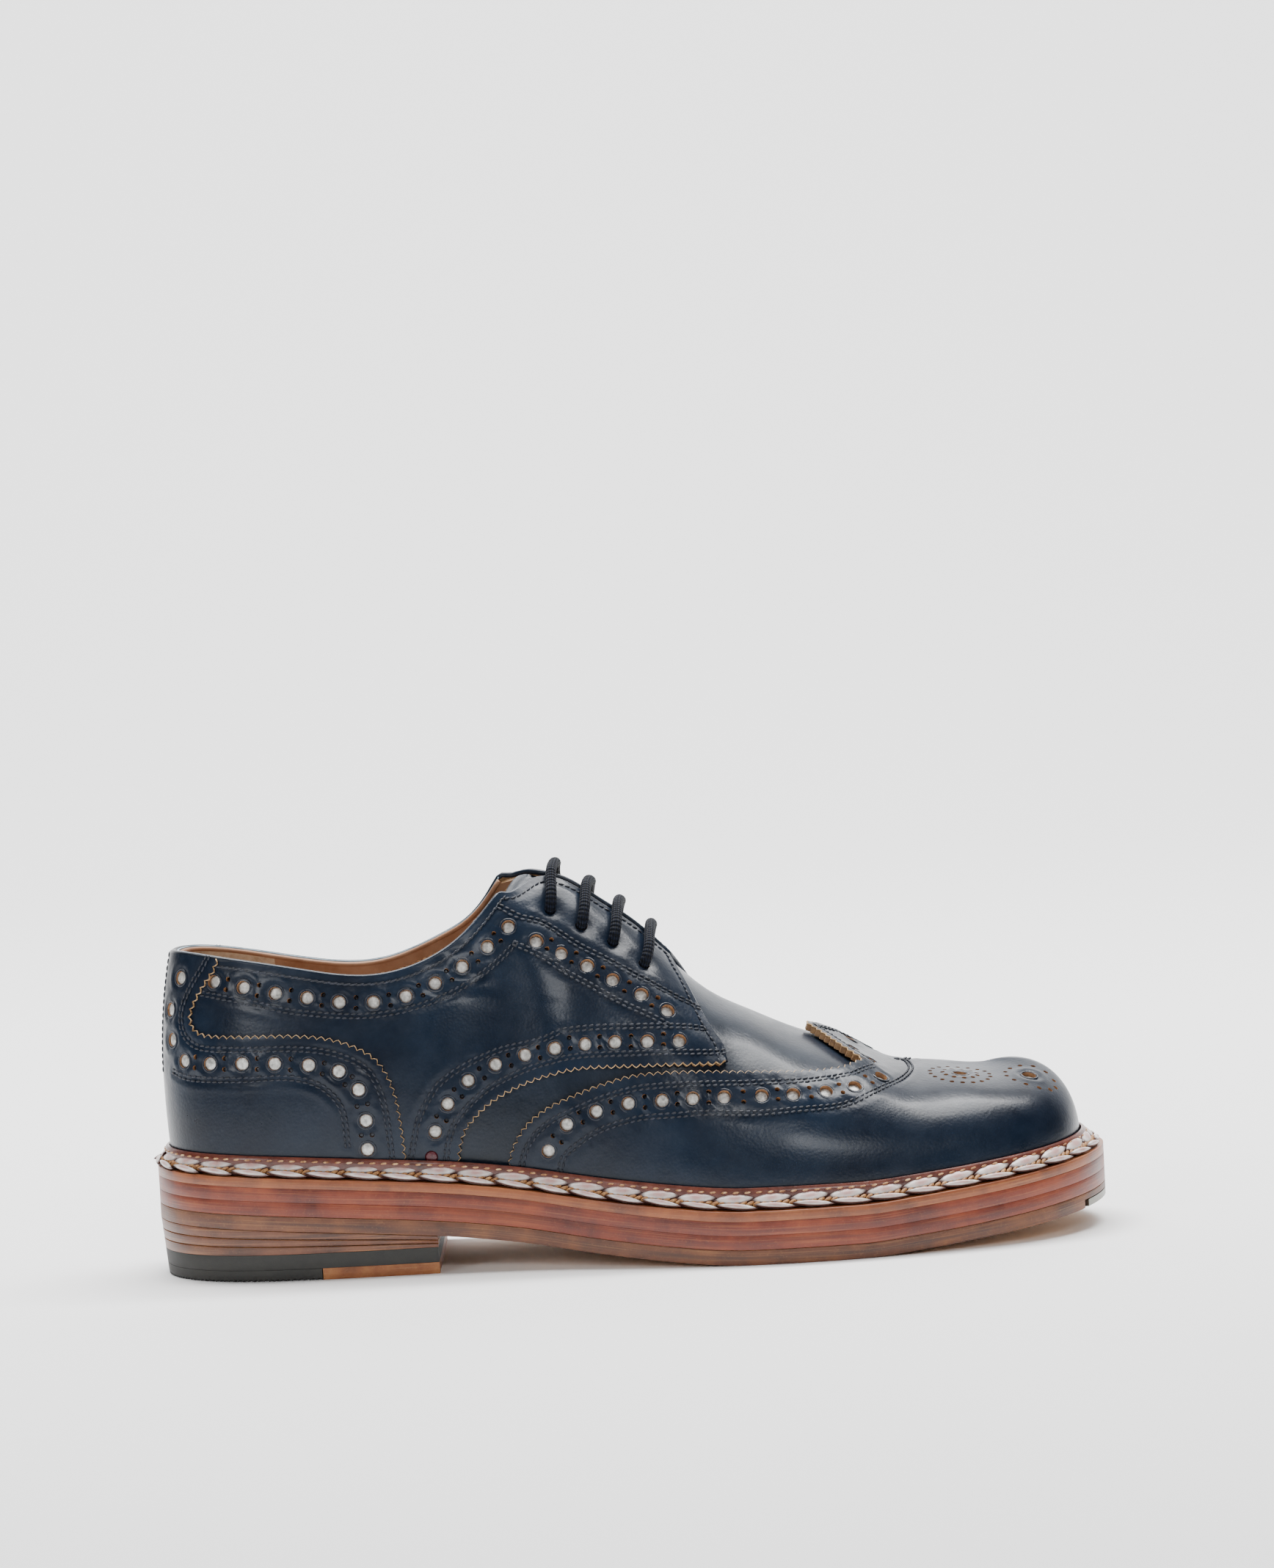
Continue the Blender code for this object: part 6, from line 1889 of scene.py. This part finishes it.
def thongRow(width, lean):
    return {"Pitch": plait["pitch"], "Length": plait["length"], "Width": width,
            "Height": plait["height"],
            "Slant": lean * plait["slant"], "Lean": 0.0, "Point": 0.35, "Fineness": 20, "Rings": 10,
            "Material": thong}


rowsOf = {
    "plaitUpper": (plait["upperOut"], plait["upperRise"], 0.0, thongRow(plait["width"], 1)),
    "plaitLower": (plait["lowerOut"], plait["lowerRise"], 0.11, thongRow(plait["lowWidth"], -1)),
    "plaitCord": ((plait["upperOut"] + plait["lowerOut"]) / 2,
                  (plait["upperRise"] + plait["lowerRise"]) / 2 - 0.0004,
                  0.05, {"Pitch": 0.0022, "Length": 0.0034, "Width": 0.0015, "Height": 0.0015,
                         "Slant": 0.6, "Lean": 0.0, "Point": 0.1, "Fineness": 8, "Rings": 6,
                         "Material": cordTwist}),
}
replacedBy = {"plaitUpper": ("welt_braid",)}
for name, spec in rowsOf.items():
    line, ups, values = plaitRow(*spec)
    finished(grown(name, [line], beadRow, values, [ups]), "braid", *replacedBy.get(name, ()))
print("plait made")

# stage and light
stage = {"width": 6.0, "front": -3.0, "back": 1.6, "bend": 1.2, "height": 3.5, "colour": "#f8f8f8",
         "air": 0.10}


def makeStage():
    profile = [(stage["front"], 0.0), (stage["back"], 0.0)]
    for k in range(1, 25):
        angle = k / 24 * pi / 2
        profile.append((stage["back"] + stage["bend"] * math.sin(angle),
                        stage["bend"] * (1 - math.cos(angle))))
    profile.append((stage["back"] + stage["bend"], stage["height"]))
    points = [(x, y, z) for y, z in profile for x in (-stage["width"], stage["width"])]
    faces = [(2 * i, 2 * i + 1, 2 * i + 3, 2 * i + 2) for i in range(len(profile) - 1)]
    mesh = meshOf("studioFloor", points, faces)
    made, tree, shader = newMaterial("matPaperBackdrop")      # seamless paper: matt, even
    shader.inputs["Base Color"].default_value = linear(stage["colour"])
    shader.inputs["Roughness"].default_value = 0.9
    floor = newObject("studioFloor", mesh, made)


# place, size, watts and what it is aimed at, where that isn't the shoe
lights = {
    "overheadSoftbox": ((0.05, 0.25, 1.4), (1.4, 0.7), 44.0),
    "frontHigh": ((0.45, -1.75, 1.05), (0.50, 0.35), 9.0),
    "frontLeft": ((-1.1, -1.5, 0.80), (0.45, 0.55), 9.0),
    "backdropWash": ((0.0, 0.9, 2.6), (4.0, 0.8), 205.0, (0.0, 2.6, 1.0)),
}


def softLight(name, place, size, power, target=(0.0, 0.0, 0.05)):
    data = bpy.data.lights.new(name, "AREA")
    data.shape, data.size, data.size_y = "RECTANGLE", size[0], size[1]
    data.energy = power
    made = bpy.data.objects.new(name, data)
    made.location = place
    way = np.array(target) - np.array(place)
    made.rotation_euler = Vector(way).to_track_quat("-Z", "Y").to_euler()
    bpy.context.scene.collection.objects.link(made)


makeStage()
for lightName, spec in lights.items():
    softLight(lightName, *spec)
world = bpy.data.worlds.new("studioAir")
world.use_nodes = True
world.node_tree.nodes["Background"].inputs[0].default_value = (1.0, 1.0, 1.0, 1.0)
world.node_tree.nodes["Background"].inputs[1].default_value = stage["air"]
bpy.context.scene.world = world
print("stage set")
